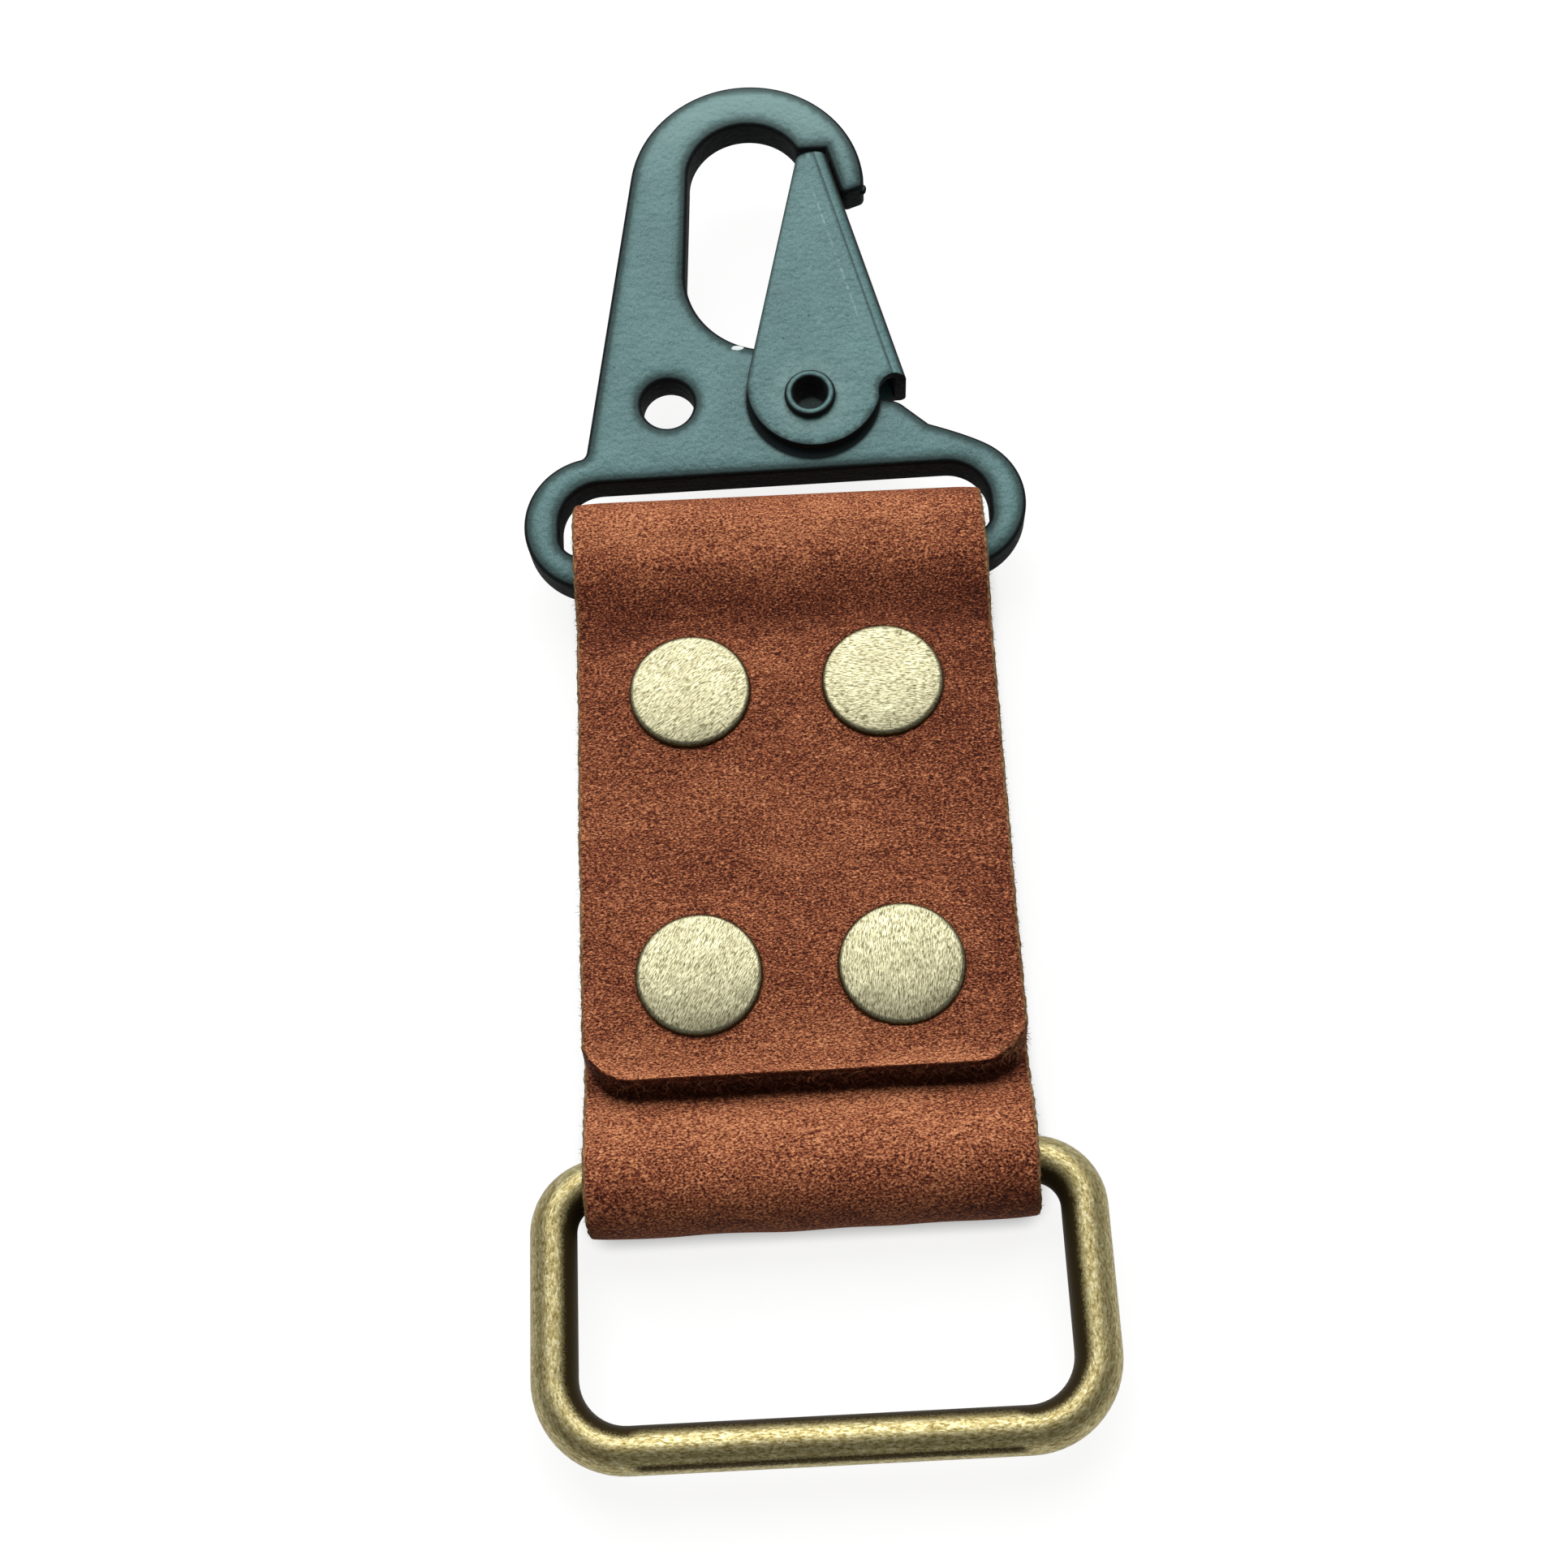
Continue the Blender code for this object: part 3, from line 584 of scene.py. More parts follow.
def sweep_tube(points, radius, sides=32, cyclic=True, taper=None):
    """Vertices, faces and (along, round) of a round wire whose line lies in planes of its own."""
    line = [Vector(p) for p in points]
    count = len(line)
    verts, faces, where = [], [], []
    normal = None
    along = 0.0
    for index, point in enumerate(line):
        before = line[index - 1] if cyclic or index else point
        after = line[(index + 1) % count] if cyclic or index < count - 1 else point
        tangent = (after - before).normalized()
        if normal is None:
            normal = tangent.orthogonal().normalized()
        normal = (normal - tangent * normal.dot(tangent)).normalized()
        side = tangent.cross(normal)
        size = radius * (taper[index] if taper is not None else 1)
        for step in range(sides):
            a = 2 * math.pi * step / sides
            verts.append(point + normal * size * math.cos(a) + side * size * math.sin(a))
            where.append((along, a * radius))
        along += (after - point).length
    for index in range(count if cyclic else count - 1):
        low, high = index * sides, (index + 1) % count * sides
        for step in range(sides):
            after = (step + 1) % sides
            faces.append((low + step, low + after, high + after, high + step))
    if not cyclic:
        faces.append(tuple(range(sides))[::-1])
        faces.append(tuple(range((count - 1) * sides, count * sides)))
    return [tuple(v) for v in verts], faces, where


# ---------------------------------------------------------------- materials

class Nodes:
    """A small helper that adds and links the nodes of one tree."""

    def __init__(self, tree):
        self.tree = tree

    def add(self, kind, inputs=(), output=0, **settings):
        """Add a node with its inputs and settings; returns one of its outputs."""
        node = self.tree.nodes.new("ShaderNode" + kind)
        for key, value in settings.items():
            setattr(node, key, value)
        self.feed(node, dict(inputs))
        return node.outputs[output]

    def feed(self, node, inputs):
        """Link sockets to a node's inputs and set plain values on them."""
        for key, value in inputs.items():
            if isinstance(value, bpy.types.NodeSocket):
                self.tree.links.new(value, node.inputs[key])
            else:
                node.inputs[key].default_value = value

    def math(self, operation, first, second=0.0, third=0.0):
        return self.add("Math", {0: first, 1: second, 2: third}, operation=operation)

    def span(self, value, low, high, to_low=0.0, to_high=1.0, **settings):
        """Value mapped from one range to another and held inside it."""
        return self.add("MapRange", {"Value": value, "From Min": low, "From Max": high,
                                     "To Min": to_low, "To Max": to_high}, **settings)


class Shader(Nodes):
    """The nodes of one new material."""

    def __init__(self, name):
        self.material = bpy.data.materials.new(name)
        self.material.use_nodes = True
        super().__init__(self.material.node_tree)

    def values(self, name, output="Fac"):
        """A value or a vector stored on the mesh."""
        return self.add("Attribute", output=output, attribute_name=name)

    def object_place(self):
        """Place in the object's own frame in millimetres."""
        return self.scaled(self.add("TexCoord", output="Object"), (1 / MM, 1 / MM, 1 / MM))

    def scaled(self, vector, scale):
        return self.add("VectorMath", {0: vector, 1: scale}, operation="MULTIPLY")

    def vector_value(self, operation, vector, other=(0, 0, 0)):
        """One number from a vector: its length, its distance or its share along another."""
        return self.add("VectorMath", {0: vector, 1: other}, "Value", operation=operation)

    def noise(self, vector, scale=1.0, detail=2.0, rough=0.5, distortion=0.0):
        return self.add("TexNoise", {"Vector": vector, "Scale": scale, "Detail": detail,
                                     "Roughness": rough, "Distortion": distortion})

    def sway(self, base, wave, amount):
        """A value moved up and down by a noise that lies about a half."""
        return self.math("MULTIPLY_ADD", self.math("SUBTRACT", wave, 0.5), amount, base)

    def ramp(self, value, *stops):
        """Colour from stops (position, (red, green, blue) on screen)."""
        node = self.add("ValToRGB", {0: value}).node
        elements = node.color_ramp.elements
        for index, (position, color) in enumerate(stops):
            element = elements[index] if index < 2 else elements.new(position)
            element.position = position
            element.color = (*srgb(*color), 1)
        return node.outputs[0]

    def blend(self, share, first, second):
        """Mix of two colours, each a socket or (red, green, blue) on screen."""
        inputs = {0: share}
        for index, color in ((6, first), (7, second)):
            plain = not isinstance(color, bpy.types.NodeSocket)
            inputs[index] = (*srgb(*color), 1) if plain else color
        return self.add("Mix", inputs, 2, data_type="RGBA")

    def bump(self, height, distance, below=None):
        """Bumps of a height in millimetres, laid over those of the normal below."""
        inputs = {"Height": height, "Distance": distance * MM, "Strength": 1.0}
        if below is not None:
            inputs["Normal"] = below
        return self.add("Bump", inputs)

    def finish(self, **inputs):
        surface = self.tree.nodes["Principled BSDF"]
        self.feed(surface, {key.replace("_", " "): value for key, value in inputs.items()})
        return self.material


def srgb(red, green, blue):
    """Linear colour from 0 to 255 screen values."""
    return tuple((v / 255 / 12.92) if v < 10.3 else ((v / 255 + 0.055) / 1.055) ** 2.4
                 for v in (red, green, blue))


def leather_material():
    """Waxed leather with a short nap: fine creased flecks, soft clouds, raw edges, and painted
    light and shade from the tone values: paler folds, darker valleys and shadow.
    """
    s = Shader("waxed_leather")
    strip = s.values("strip", "Vector")
    fleck = s.noise(s.scaled(strip, (5.0, 9.4, 9.4)), 1.0, 2.0, 0.6, 0.4)
    nap = s.noise(s.scaled(strip, (3.2, 6.2, 6.2)), 1.0, 3.0, 0.6, 0.8)
    crease = s.math("ABSOLUTE", s.math("MULTIPLY_ADD", nap, 2.0, -1.0))
    crease = s.span(crease, 0.0, 0.16, -1.0, 0.35)
    cloud = s.noise(s.scaled(strip, (0.16, 0.3, 0.3)), 1.0, 3.0, 0.55)
    streak = s.noise(s.scaled(strip, (0.35, 2.2, 2.2)), 1.0, 2.0, 0.5)
    tone = s.values("tone")
    level = s.sway(tone, fleck, 2.5)
    level = s.math("MULTIPLY_ADD", crease, 0.12, level)
    level = s.sway(level, cloud, 0.4)
    level = s.sway(level, streak, 0.22)
    grain_color = s.ramp(level, (0.1, (50, 14, 7)), (0.34, (102, 45, 28)),
                         (0.52, (146, 80, 53)), (0.7, (186, 111, 74)), (0.95, (230, 158, 112)))
    fibre = s.noise(s.scaled(strip, (3.0, 3.0, 9.0)), 1.0, 3.0, 0.6, 0.4)
    raw_color = s.ramp(fibre, (0.32, (78, 54, 32)), (0.5, (140, 104, 66)), (0.7, (204, 168, 122)))
    end_color = s.ramp(fibre, (0.36, (24, 6, 3)), (0.52, (82, 28, 14)), (0.7, (198, 98, 56)))
    flesh_color = s.ramp(fleck, (0.3, (104, 70, 44)), (0.7, (172, 132, 92)))
    color = s.blend(s.values("flesh"), grain_color, flesh_color)
    color = s.blend(s.values("raw"), color, raw_color)
    color = s.blend(s.values("worn_end"), color, end_color)
    normal = s.bump(cloud, 0.2)
    normal = s.bump(crease, 0.022, normal)
    normal = s.bump(fleck, 0.08, normal)
    rough = s.span(fleck, 0.3, 0.7, 0.66, 0.9)
    return s.finish(Base_Color=color, Roughness=rough, Normal=normal, Sheen_Weight=0.05,
                    Sheen_Roughness=0.5, Sheen_Tint=(0.9, 0.62, 0.45, 1), Specular_IOR_Level=0.12)


def paint_material(name, level_low=0.72, crease=None, foot_shadow=None):
    """Satin black paint on a casting: orange peel and faint pits, with painted light and shade:
    level faces painted paler as their sheen, near-black walls and edges, a paler head top, painted
    light in the rivet's bore, and where asked a painted shadow under the gate's foot and a painted
    glint.
    """
    s = Shader(name)
    place = s.values("place", "Vector")
    peel = s.noise(place, 2.4, 3.0, 0.6)
    wave = s.noise(place, 0.6, 2.0, 0.5)
    cloud = s.noise(place, 0.18, 3.0, 0.6)
    sand = s.noise(place, 7.0, 3.0, 0.7)
    pit = s.add("TexVoronoi", {"Vector": place, "Scale": 0.8, "Randomness": 1.0})
    pit_mask = s.span(pit, 0.03, 0.09, 1.0, 0.0)
    # Painted light: level faces take a paler teal-grey, the sheen the light gives them; walls and
    # rounded edges keep the near-black of the paint.
    face = s.span(s.values("face"), level_low, 1.0)
    face_color = s.blend(s.span(cloud, 0.3, 0.7), (78, 115, 115), (92, 132, 131))
    face_color = s.blend(s.span(sand, 0.5, 0.75, 0.0, 0.5), face_color, (128, 164, 161))
    face_color = s.blend(s.span(sand, 0.48, 0.25, 0.0, 0.5), face_color, (40, 70, 70))
    # Painted highlight: the top of the head is paler, where the light falls more on it.
    height = s.add("SeparateXYZ", {0: place}, 1)
    face_color = s.blend(s.span(height, 34, 41, 0.0, 0.6), face_color, (132, 168, 164))
    if crease:
        face_color = add_crease(s, place, face_color, *crease)
    color = s.blend(s.math("POWER", face, 1.7), (5, 9, 10), face_color)
    color = s.blend(s.math("MULTIPLY", pit_mask, 0.5), color, (24, 38, 38))
    # Painted light: the lower part of the rivet's bore is pale, as the lit floor seen through it.
    color = s.blend(s.values("bore_light"), color, (205, 220, 218))
    if foot_shadow:
        # Painted shadow: a dark crescent on the plate round the gate's round foot, made fully rough
        # there as well.
        middle, radius = foot_shadow
        reach = s.vector_value("DISTANCE", s.scaled(place, (1, 1, 0)), (*middle, 0))
        foot_shadow_mask = s.span(reach, radius + 0.3, radius, 0.0, 0.95)
        color = s.blend(foot_shadow_mask, color, (3, 6, 7))
        # Painted highlight: a small pale glint on the rim at the bottom of the eye.
        squashed = s.scaled(place, (1, glint_squash, 0))
        reach = s.vector_value("DISTANCE", squashed, (glint[0], glint[1] * glint_squash, 0))
        reach = s.math("MULTIPLY_ADD", peel, 0.2, reach)
        color = s.blend(s.span(reach, 0.62, 0.54), color, (225, 235, 234))
    normal = s.bump(wave, 0.12)
    normal = s.bump(peel, 0.085, normal)
    normal = s.bump(pit_mask, -0.02, normal)
    rough = s.span(peel, 0.3, 0.7, 0.36, 0.46)
    rough = s.math("ADD", rough, s.math("MULTIPLY_ADD", face, -0.55, 0.55))
    rough = s.math("MAXIMUM", rough, foot_shadow_mask) if foot_shadow else rough
    return s.finish(Base_Color=color, Roughness=rough, Normal=normal, Specular_IOR_Level=0.28)


def add_crease(s, place, color, start, end, eye, halo_radius):
    """A faint scored line on a sheet, painted paler as the highlight along it, and a rubbed halo
    round its rivet.
    """
    flat = s.scaled(place, (1, 1, 0))
    run = Vector(end) - Vector(start)
    normal = Vector((-run.y, run.x)).normalized()
    away = s.vector_value("DOT_PRODUCT", flat, (*normal, 0))
    away = s.math("ABSOLUTE", s.math("SUBTRACT", away, normal.dot(Vector(start))))
    ahead = run.normalized()
    along = s.vector_value("DOT_PRODUCT", flat, (*ahead, 0))
    along = s.math("SUBTRACT", along, ahead.dot(Vector(start)))
    inside = s.span(along, run.length, run.length - 0.8)
    inside = s.math("MULTIPLY", s.span(along, 0, 0.6), inside)
    broken = s.span(s.noise(place, 1.6, 3.0, 0.6), 0.42, 0.6)
    line = s.math("MULTIPLY", s.math("MULTIPLY", s.span(away, 0.12, 0.03), inside), broken)
    # Painted highlight along the scored line.
    color = s.blend(s.math("MULTIPLY", line, 0.4), color, (172, 200, 196))
    reach = s.vector_value("DISTANCE", flat, (*eye, 0))
    ring = s.span(s.noise(place, 1.2, 2.0, 0.5), 0.3, 0.6)
    ring = s.math("MULTIPLY", s.span(reach, halo_radius, halo_inner_radius), ring)
    return s.blend(s.math("MULTIPLY", ring, 0.42), color, (134, 166, 162))


def brass_material(name, along, across, tones, spread, patina_low, patina_high, depth, dull):
    """Antique brass: pale rubbed metal with brush lines, dark patina in the lows and specks, and on
    the ring a painted dark reflection band.
    """
    s = Shader(name)
    brush_place = s.values("brush", "Vector")
    line = s.noise(s.scaled(brush_place, (along, across, across)), 1.0, 3.0, 0.65, 0.3)
    cloud = s.noise(brush_place, 0.5, 3.0, 0.6)
    grit = s.noise(brush_place, 6.0, 3.0, 0.7)
    speck = s.span(s.noise(brush_place, 2.1, 2.0, 0.6), 0.7, 0.75)
    patina_and_shade = s.values("patina_and_shade")
    color = s.ramp(line, (0.5 - spread, tones[0]), (0.5, tones[1]), (0.5 + spread, tones[2]))
    color = s.blend(s.span(cloud, 0.35, 0.75, 0.0, 0.3), color, tones[0])
    color = s.blend(s.math("MULTIPLY", speck, 0.6), color, (60, 52, 32))
    stain_and_shade = s.sway(patina_and_shade, line, 0.8)
    stain_and_shade = s.sway(stain_and_shade, grit, 1.1)
    mask = s.span(stain_and_shade, patina_low, patina_high)
    color = s.blend(mask, color, tones[3])
    rim = s.values("rim")
    local = s.add("SeparateXYZ", {0: s.values("local", "Vector")}, 0).node
    angle = s.math("MULTIPLY", s.math("ARCTAN2", local.outputs[1], local.outputs[0]), 14.0)
    polar = s.add("CombineXYZ", {0: angle, 1: s.math("MULTIPLY", rim, 3.0), 2: local.outputs[2]})
    scratch = s.span(s.noise(polar, 1.0, 1.0, 0.4), 0.7, 0.73)
    scratch = s.math("MULTIPLY", scratch, s.span(rim, 0.78, 0.84))
    color = s.blend(s.math("MULTIPLY", scratch, 0.75), color, (66, 58, 36))
    normal = s.bump(line, depth)
    normal = s.bump(cloud, 0.04, normal)
    rough = s.math("ADD", s.span(line, 0.3, 0.7, 0.1 + dull, dull), s.math("MULTIPLY", mask, 0.16))
    return s.finish(Base_Color=color, Roughness=rough, Metallic=1.0, Normal=normal)


def steel_material():
    """Drawn spring wire with lengthwise lines and a little oil."""
    s = Shader("spring_wire")
    place = s.object_place()
    line = s.noise(place, 6.0, 3.0, 0.6)
    cloud = s.noise(place, 0.8, 2.0, 0.5)
    color = s.ramp(line, (0.3, (110, 110, 108)), (0.7, (168, 168, 164)))
    color = s.blend(s.span(cloud, 0.45, 0.7, 0.0, 0.6), color, (74, 68, 60))
    return s.finish(Base_Color=color, Roughness=s.span(line, 0.3, 0.7, 0.45, 0.28), Metallic=1.0,
                    Normal=s.bump(line, 0.008))


def plain_brass_material():
    """Duller brass for the rivets' hidden pieces."""
    s = Shader("inner_brass")
    grain = s.noise(s.object_place(), 3.0, 3.0, 0.6)
    color = s.ramp(grain, (0.3, (96, 84, 48)), (0.7, (160, 150, 104)))
    return s.finish(Base_Color=color, Metallic=1.0, Normal=s.bump(grain, 0.01),
                    Roughness=s.span(grain, 0.3, 0.7, 0.5, 0.35))


LEATHER = leather_material()
PAINT = paint_material("satin_black_paint", foot_shadow=(foot_shadow_middle, gate_round_radius))
GATE_PAINT = paint_material("satin_black_gate_paint", 0.45,
                            (crease_start, crease_end, pivot, halo_radius))
RIVET_PAINT = paint_material("satin_black_rivet_paint")
CAP_TONES = ((82, 77, 54), (147, 143, 114), (186, 182, 152), (74, 62, 34))
RING_TONES = ((102, 88, 48), (170, 157, 108), (226, 220, 180), (60, 50, 29))
CAP_BRASS = brass_material("brushed_cap_brass", 2.6, 13.0, CAP_TONES, 0.13, 0.55, 1.0, 0.007, 0.32)
RING_BRASS = brass_material("drawn_ring_brass", 2.6, 6.5, RING_TONES, 0.2, 0.32, 0.92, 0.01, 0.4)
PLAIN_BRASS = plain_brass_material()
STEEL = steel_material()


# ---------------------------------------------------------------- strap

def flap_height(y):
    past = max(0.0, flap_end_y + flap_lift_length - y) / flap_lift_length
    return front_z + flap_lift * past * past


def blend_line(start, end, steps=24):
    """Points from start to end, level at both ends; start itself is left out."""
    points = []
    for share in np.linspace(0, 1, steps + 1)[1:]:
        rise = (1 - math.cos(math.pi * share)) / 2
        points.append((start[0] + (end[0] - start[0]) * share,
                       start[1] + (end[1] - start[1]) * rise))
    return points


def strap_line():
    """Dense middle line (y, z) of the folded strip, from the flap's end to the hidden end."""
    lifted = np.linspace(flap_end_y, flap_end_y + flap_lift_length, 20)
    points = [(y, flap_height(y)) for y in lifted]
    points += [(hook_loop_foot_y, front_z)]
    points += blend_line(points[-1], (hook_loop_low_y, hook_z + hook_line))
    points += arc((hook_loop_y, hook_z), hook_line, 90, -90)
    points.append((hook_loop_low_y, hook_z - hook_line))
    points += blend_line(points[-1], (hook_loop_foot_y, back_z))
    points.append((ring_loop_end_y, back_z))
    points += blend_line(points[-1], (0, ring_z - ring_line))
    points += arc((0, ring_z), ring_line, 270, 90)[1:]
    points += blend_line(points[-1], (ring_loop_end_y, middle_z))
    points.append((middle_end_y, middle_z))
    line = np.array(points)
    steps = np.r_[0, np.cumsum(np.hypot(*np.diff(line, axis=0).T))]
    fine = np.arange(0, steps[-1], 0.1)
    dense = np.c_[np.interp(fine, steps, line[:, 0]), np.interp(fine, steps, line[:, 1])]
    kernel = np.hanning(13)
    kernel /= kernel.sum()
    padded = np.pad(dense, ((6, 6), (0, 0)), mode="reflect", reflect_type="odd")
    return fine, np.array([np.convolve(column, kernel, "valid") for column in padded.T]).T


def stations(length, spacing=0.33):
    """Distances along the strip; they crowd together at the flap's round corners."""
    near = flap_corner * (1 - np.cos(np.linspace(0, math.pi / 2, 18)))
    far = np.linspace(flap_corner, length, int((length - flap_corner) / spacing) + 1)[1:]
    return np.r_[near, far]


def corner_inset(past):
    """How far the flap's outline comes in at a place so far past the start of its corner."""
    left = max(0.0, flap_corner ** corner_power - past ** corner_power)
    return flap_corner - left ** (1 / corner_power)


def strip_noise(x, s, scale, seed, amount):
    """Smooth noise of about an amount up and down at each place of the strip."""
    waves = np.array([noise.noise((a * scale, b * scale, seed)) for a, b in zip(x, s)])
    return waves * 2 * amount


def cap_bulge(x, y, places):
    """How far the leather stands up round the caps and gives way under them."""
    height = np.zeros(len(x))
    for cap_x, cap_y in places:
        away = np.hypot(x - cap_x, y - cap_y) - cap_radius
        ridge = cap_ridge * np.exp(-np.clip(away - cap_step_end, 0, None) / cap_ridge_reach)
        under = cap_press + cap_step / (1 + np.exp(-(away + cap_press) / cap_step_width))
        height = np.maximum(height, np.where(away < cap_step_end, under, ridge))
    return height


def strap_section(half_width):
    """Points (x, depth) round the strip, and whether each is on the raw edge or a side."""
    flat, low = half_width - edge_corner, half_leather - edge_corner
    rim = [(edge_corner * math.sin(a), -edge_corner * (1 - math.cos(a)))
           for a in np.radians((22, 45, 68, 90))]
    right = [(flat + dx, half_leather + dz) for dx, dz in rim]
    right += [(half_width, z) for z in np.linspace(low, -low, section_wall)[1:-1]]
    right += [(flat + dx, -half_leather - dz) for dx, dz in rim[::-1]]
    top = [(x, half_leather) for x in np.linspace(-flat, flat, section_across)]
    bottom = [(x, -half_leather) for x in np.linspace(flat, -flat, section_across)]
    left = [(-x, z) for x, z in right[::-1]]
    raw, side = ([level] * section_across + [edge] * len(right) + [-level] * section_across
                 + [edge] * len(left) for level, edge in ((0, 1), (1, 0)))
    return np.array(top + right + bottom + left), np.array(raw, float), np.array(side, float)


def loop_shift(x, y):
    """The hook loop stands off its bar a little more at the left than at the right."""
    share = min(1.0, max(0.0, (y - hook_loop_foot_y) / (hook_loop_y - hook_loop_foot_y)))
    left = (strap_x + strap_width / 2 - np.asarray(x)) / strap_width
    slack = loop_slack_right + (loop_slack_left - loop_slack_right) * left
    return share * share * (3 - 2 * share) * slack


def rivet_places():
    return [(strap_x + side * rivet_half, y)
            for y in (upper_rivets_y, lower_rivets_y) for side in (-1, 1)]


def leather_values():
    """Empty lists for the values that the leather's material reads."""
    return {name: [] for name in ("strip", "raw", "worn_end", "flesh", "tone")}


def strap_rows(along, y, z, ty, tz, flap_rows):
    """Points and values of the strip, one section after another."""
    verts, values = [], leather_values()
    for index, s in enumerate(along):
        past = max(0.0, flap_corner - s)
        section, raw, side = strap_section(strap_width / 2 - corner_inset(past))
        x, depth = section.T.copy()
        side_past = np.clip(np.abs(x) - strap_width / 2 + flap_corner, 0, None)
        rim = past ** corner_power + side_past ** corner_power
        rim = flap_corner - rim ** (1 / corner_power)
        rim = np.where(past > 0, rim, np.inf)
        wave, wave_left = (noise.noise((s * edge_wave_scale, slow, 0)) * edge_wave
                           + noise.noise((s * edge_ripple_scale, quick, 0)) * edge_ripple
                           for slow, quick in ((3.1, 7.7), (9.1, 1.7)))
        outer = np.clip(np.abs(x) / edge_wave_start - 1, 0, 1)
        x = x + np.where(x > 0, wave, -wave_left) * outer
        fuzz = np.array([noise.noise((s * edge_fuzz_scale, d * edge_fuzz_scale, side_x))
                         for d, side_x in zip(depth, np.sign(x))])
        x = x + np.sign(x) * (fuzz * edge_fuzz) * raw
        model_x = strap_x + x
        lift = flap_rim_rise * np.exp(-(rim / flap_rim_reach) ** 2)
        row_y, row_s = np.full(len(x), y[index]), np.full(len(x), s)
        front = flap_rows[index]
        back = not front and ty[index] < back_slope
        if front and abs(tz[index]) < level_slope:
            lift += cap_bulge(model_x, row_y, rivet_places())
            lift += strip_noise(model_x, row_s, *flap_swell)
        if back and y[index] < hook_loop_foot_y:
            lift += cap_bulge(model_x, row_y, rivet_places()) * back_swelling
        if not front and not back and y[index] < return_swell_end_y:
            lift += strip_noise(model_x, row_s, *return_swell)
        droop = np.abs(x) - strap_width / 2 + edge_droop_width
        droop = np.clip(droop / edge_droop_width, 0, 1) ** 2 * edge_droop
        depth = depth + np.where((side > 0) | (raw > 0) & (depth > 0), lift - droop, 0)
        shift = loop_shift(model_x, y[index])
        verts += [(a, y[index] + c - tz[index] * b, z[index] + ty[index] * b)
                  for a, b, c in zip(model_x, depth, shift)]
        tone = strap_tone_and_shade(model_x, y[index], ty[index], front)
        values["strip"] += [(a, s, b) for a, b in zip(x, depth)]
        values["raw"] += list(raw)
        values["worn_end"] += [0.0] * len(x)
        values["flesh"] += list((side < 0).astype(float))
        # Paler rim of the flap: burnished, and painted highlight.
        values["tone"] += list(tone + flap_rim_tone * np.exp(-(rim / flap_rim_tone_reach) ** 2))
    return verts, values


def strap_end(verts, faces, values, base, size, s, hidden):
    """Close one end of the strip with a ragged face that has rows of its own."""
    across = section_across
    edge = (size - 2 * across) // 2
    below = base + across + edge + across - 1
    levels = [[base + j for j in range(across)]]
    for k in range(edge):
        share = (k + 1) / (edge + 1)
        inner = []
        for j in range(1, across - 1):
            a = np.array(verts[base + j])
            b = np.array(verts[below - j])
            point = a + (b - a) * share
            ragged = sum(noise.noise((a[0] * across_scale, share * deep_scale, seed)) * amount
                         for across_scale, deep_scale, seed, amount in ragged_waves)
            ragged *= math.sin(math.pi * share)
            point[1] += ragged if hidden else -abs(ragged)
            inner.append(len(verts))
            verts.append(tuple(point))
            values["strip"].append((a[0] - strap_x, s, half_leather - leather * share))
            values["raw"].append(1.0 if hidden else 0.0)
            values["worn_end"].append(0.0 if hidden else 0.45 + 0.55 * min(1.0, share * 2))
            values["flesh"].append(0.0)
            values["tone"].append(end_tone)
        levels.append([base + size - 1 - k, *inner, base + across + k])
    levels.append([below - j for j in range(across)])
    for upper, lower in zip(levels, levels[1:]):
        for j in range(across - 1):
            face = (upper[j], lower[j], lower[j + 1], upper[j + 1])
            faces.append(face[::-1] if hidden else face)


def build_strap():
    """The folded strip; returns its path for the fibres."""
    fine, line = strap_line()
    tangent = np.gradient(line, axis=0)
    tangent /= np.hypot(*tangent.T)[:, None]
    along = stations(fine[-1])
    y, z, ty, tz = (np.interp(along, fine, column) for column in (*line.T, *tangent.T))
    flap_rows = along < fine[np.argmax(line[:, 0])]
    verts, values = strap_rows(along, y, z, ty, tz, flap_rows)
    rows = len(along)
    size = len(verts) // rows
    faces = []
    for low in range(0, (rows - 1) * size, size):
        high = low + size
        faces += [(low + j, low + (j + 1) % size, high + (j + 1) % size, high + j)
                  for j in range(size)]
    strap_end(verts, faces, values, 0, size, 0, False)
    strap_end(verts, faces, values, (rows - 1) * size, size, along[-1], True)
    near_end = np.array([1.0 - min(1.0, max(0.0, place[1] - worn_reach) / worn_fade)
                         for place in values["strip"]])
    worn = np.array(values["raw"]) * near_end
    values["worn_end"] = np.maximum(np.array(values["worn_end"]), worn)
    strap = mesh_object("strap_leather", verts, faces)
    set_all_values(strap, values)
    holes = [circle(place, rivet_hole_radius, 10) for place in rivet_places()]
    holes = flat_piece("rivet_holes", holes, rivet_hole_cutter)
    strap = cut_out(strap, place_mesh(holes, HOLDER))
    dress(strap, LEATHER, "holder", "leather", "strap")
    return y, z, ty, tz, along


def strap_tone_and_shade(x, y, ty, front):
    """Large tone of the leather with painted light and shade: paler on the folds where they face
    the light, darker in the valley between them and in the shadow under the flap's end, and darker
    at the right.
    """
    tone = np.full(len(x), plain_tone)
    tones = front_light_and_shade if front else return_light_and_shade if ty > 0 else ()
    for middle, reach, change in tones:
        tone += change * math.exp(-((y - middle) / reach) ** 2)
    tone -= 0.08 * np.clip((x - 9) / 5, 0, 1)
    return tone


def fibre(rng, root, direction, length, radius, curl):
    """A loose fibre: a thin tapered three-sided thread that curls."""
    points = [Vector(root)]
    heading = Vector(direction).normalized()
    turn = Vector((rng.gauss(0, 1), rng.gauss(0, 1), rng.gauss(0, 1))) * curl
    steps = len(fibre_taper) - 1
    for _ in range(steps):
        heading = (heading + turn / steps).normalized()
        points.append(points[-1] + heading * length / steps)
    return sweep_tube(points, radius, 3, False, fibre_taper)[:2]


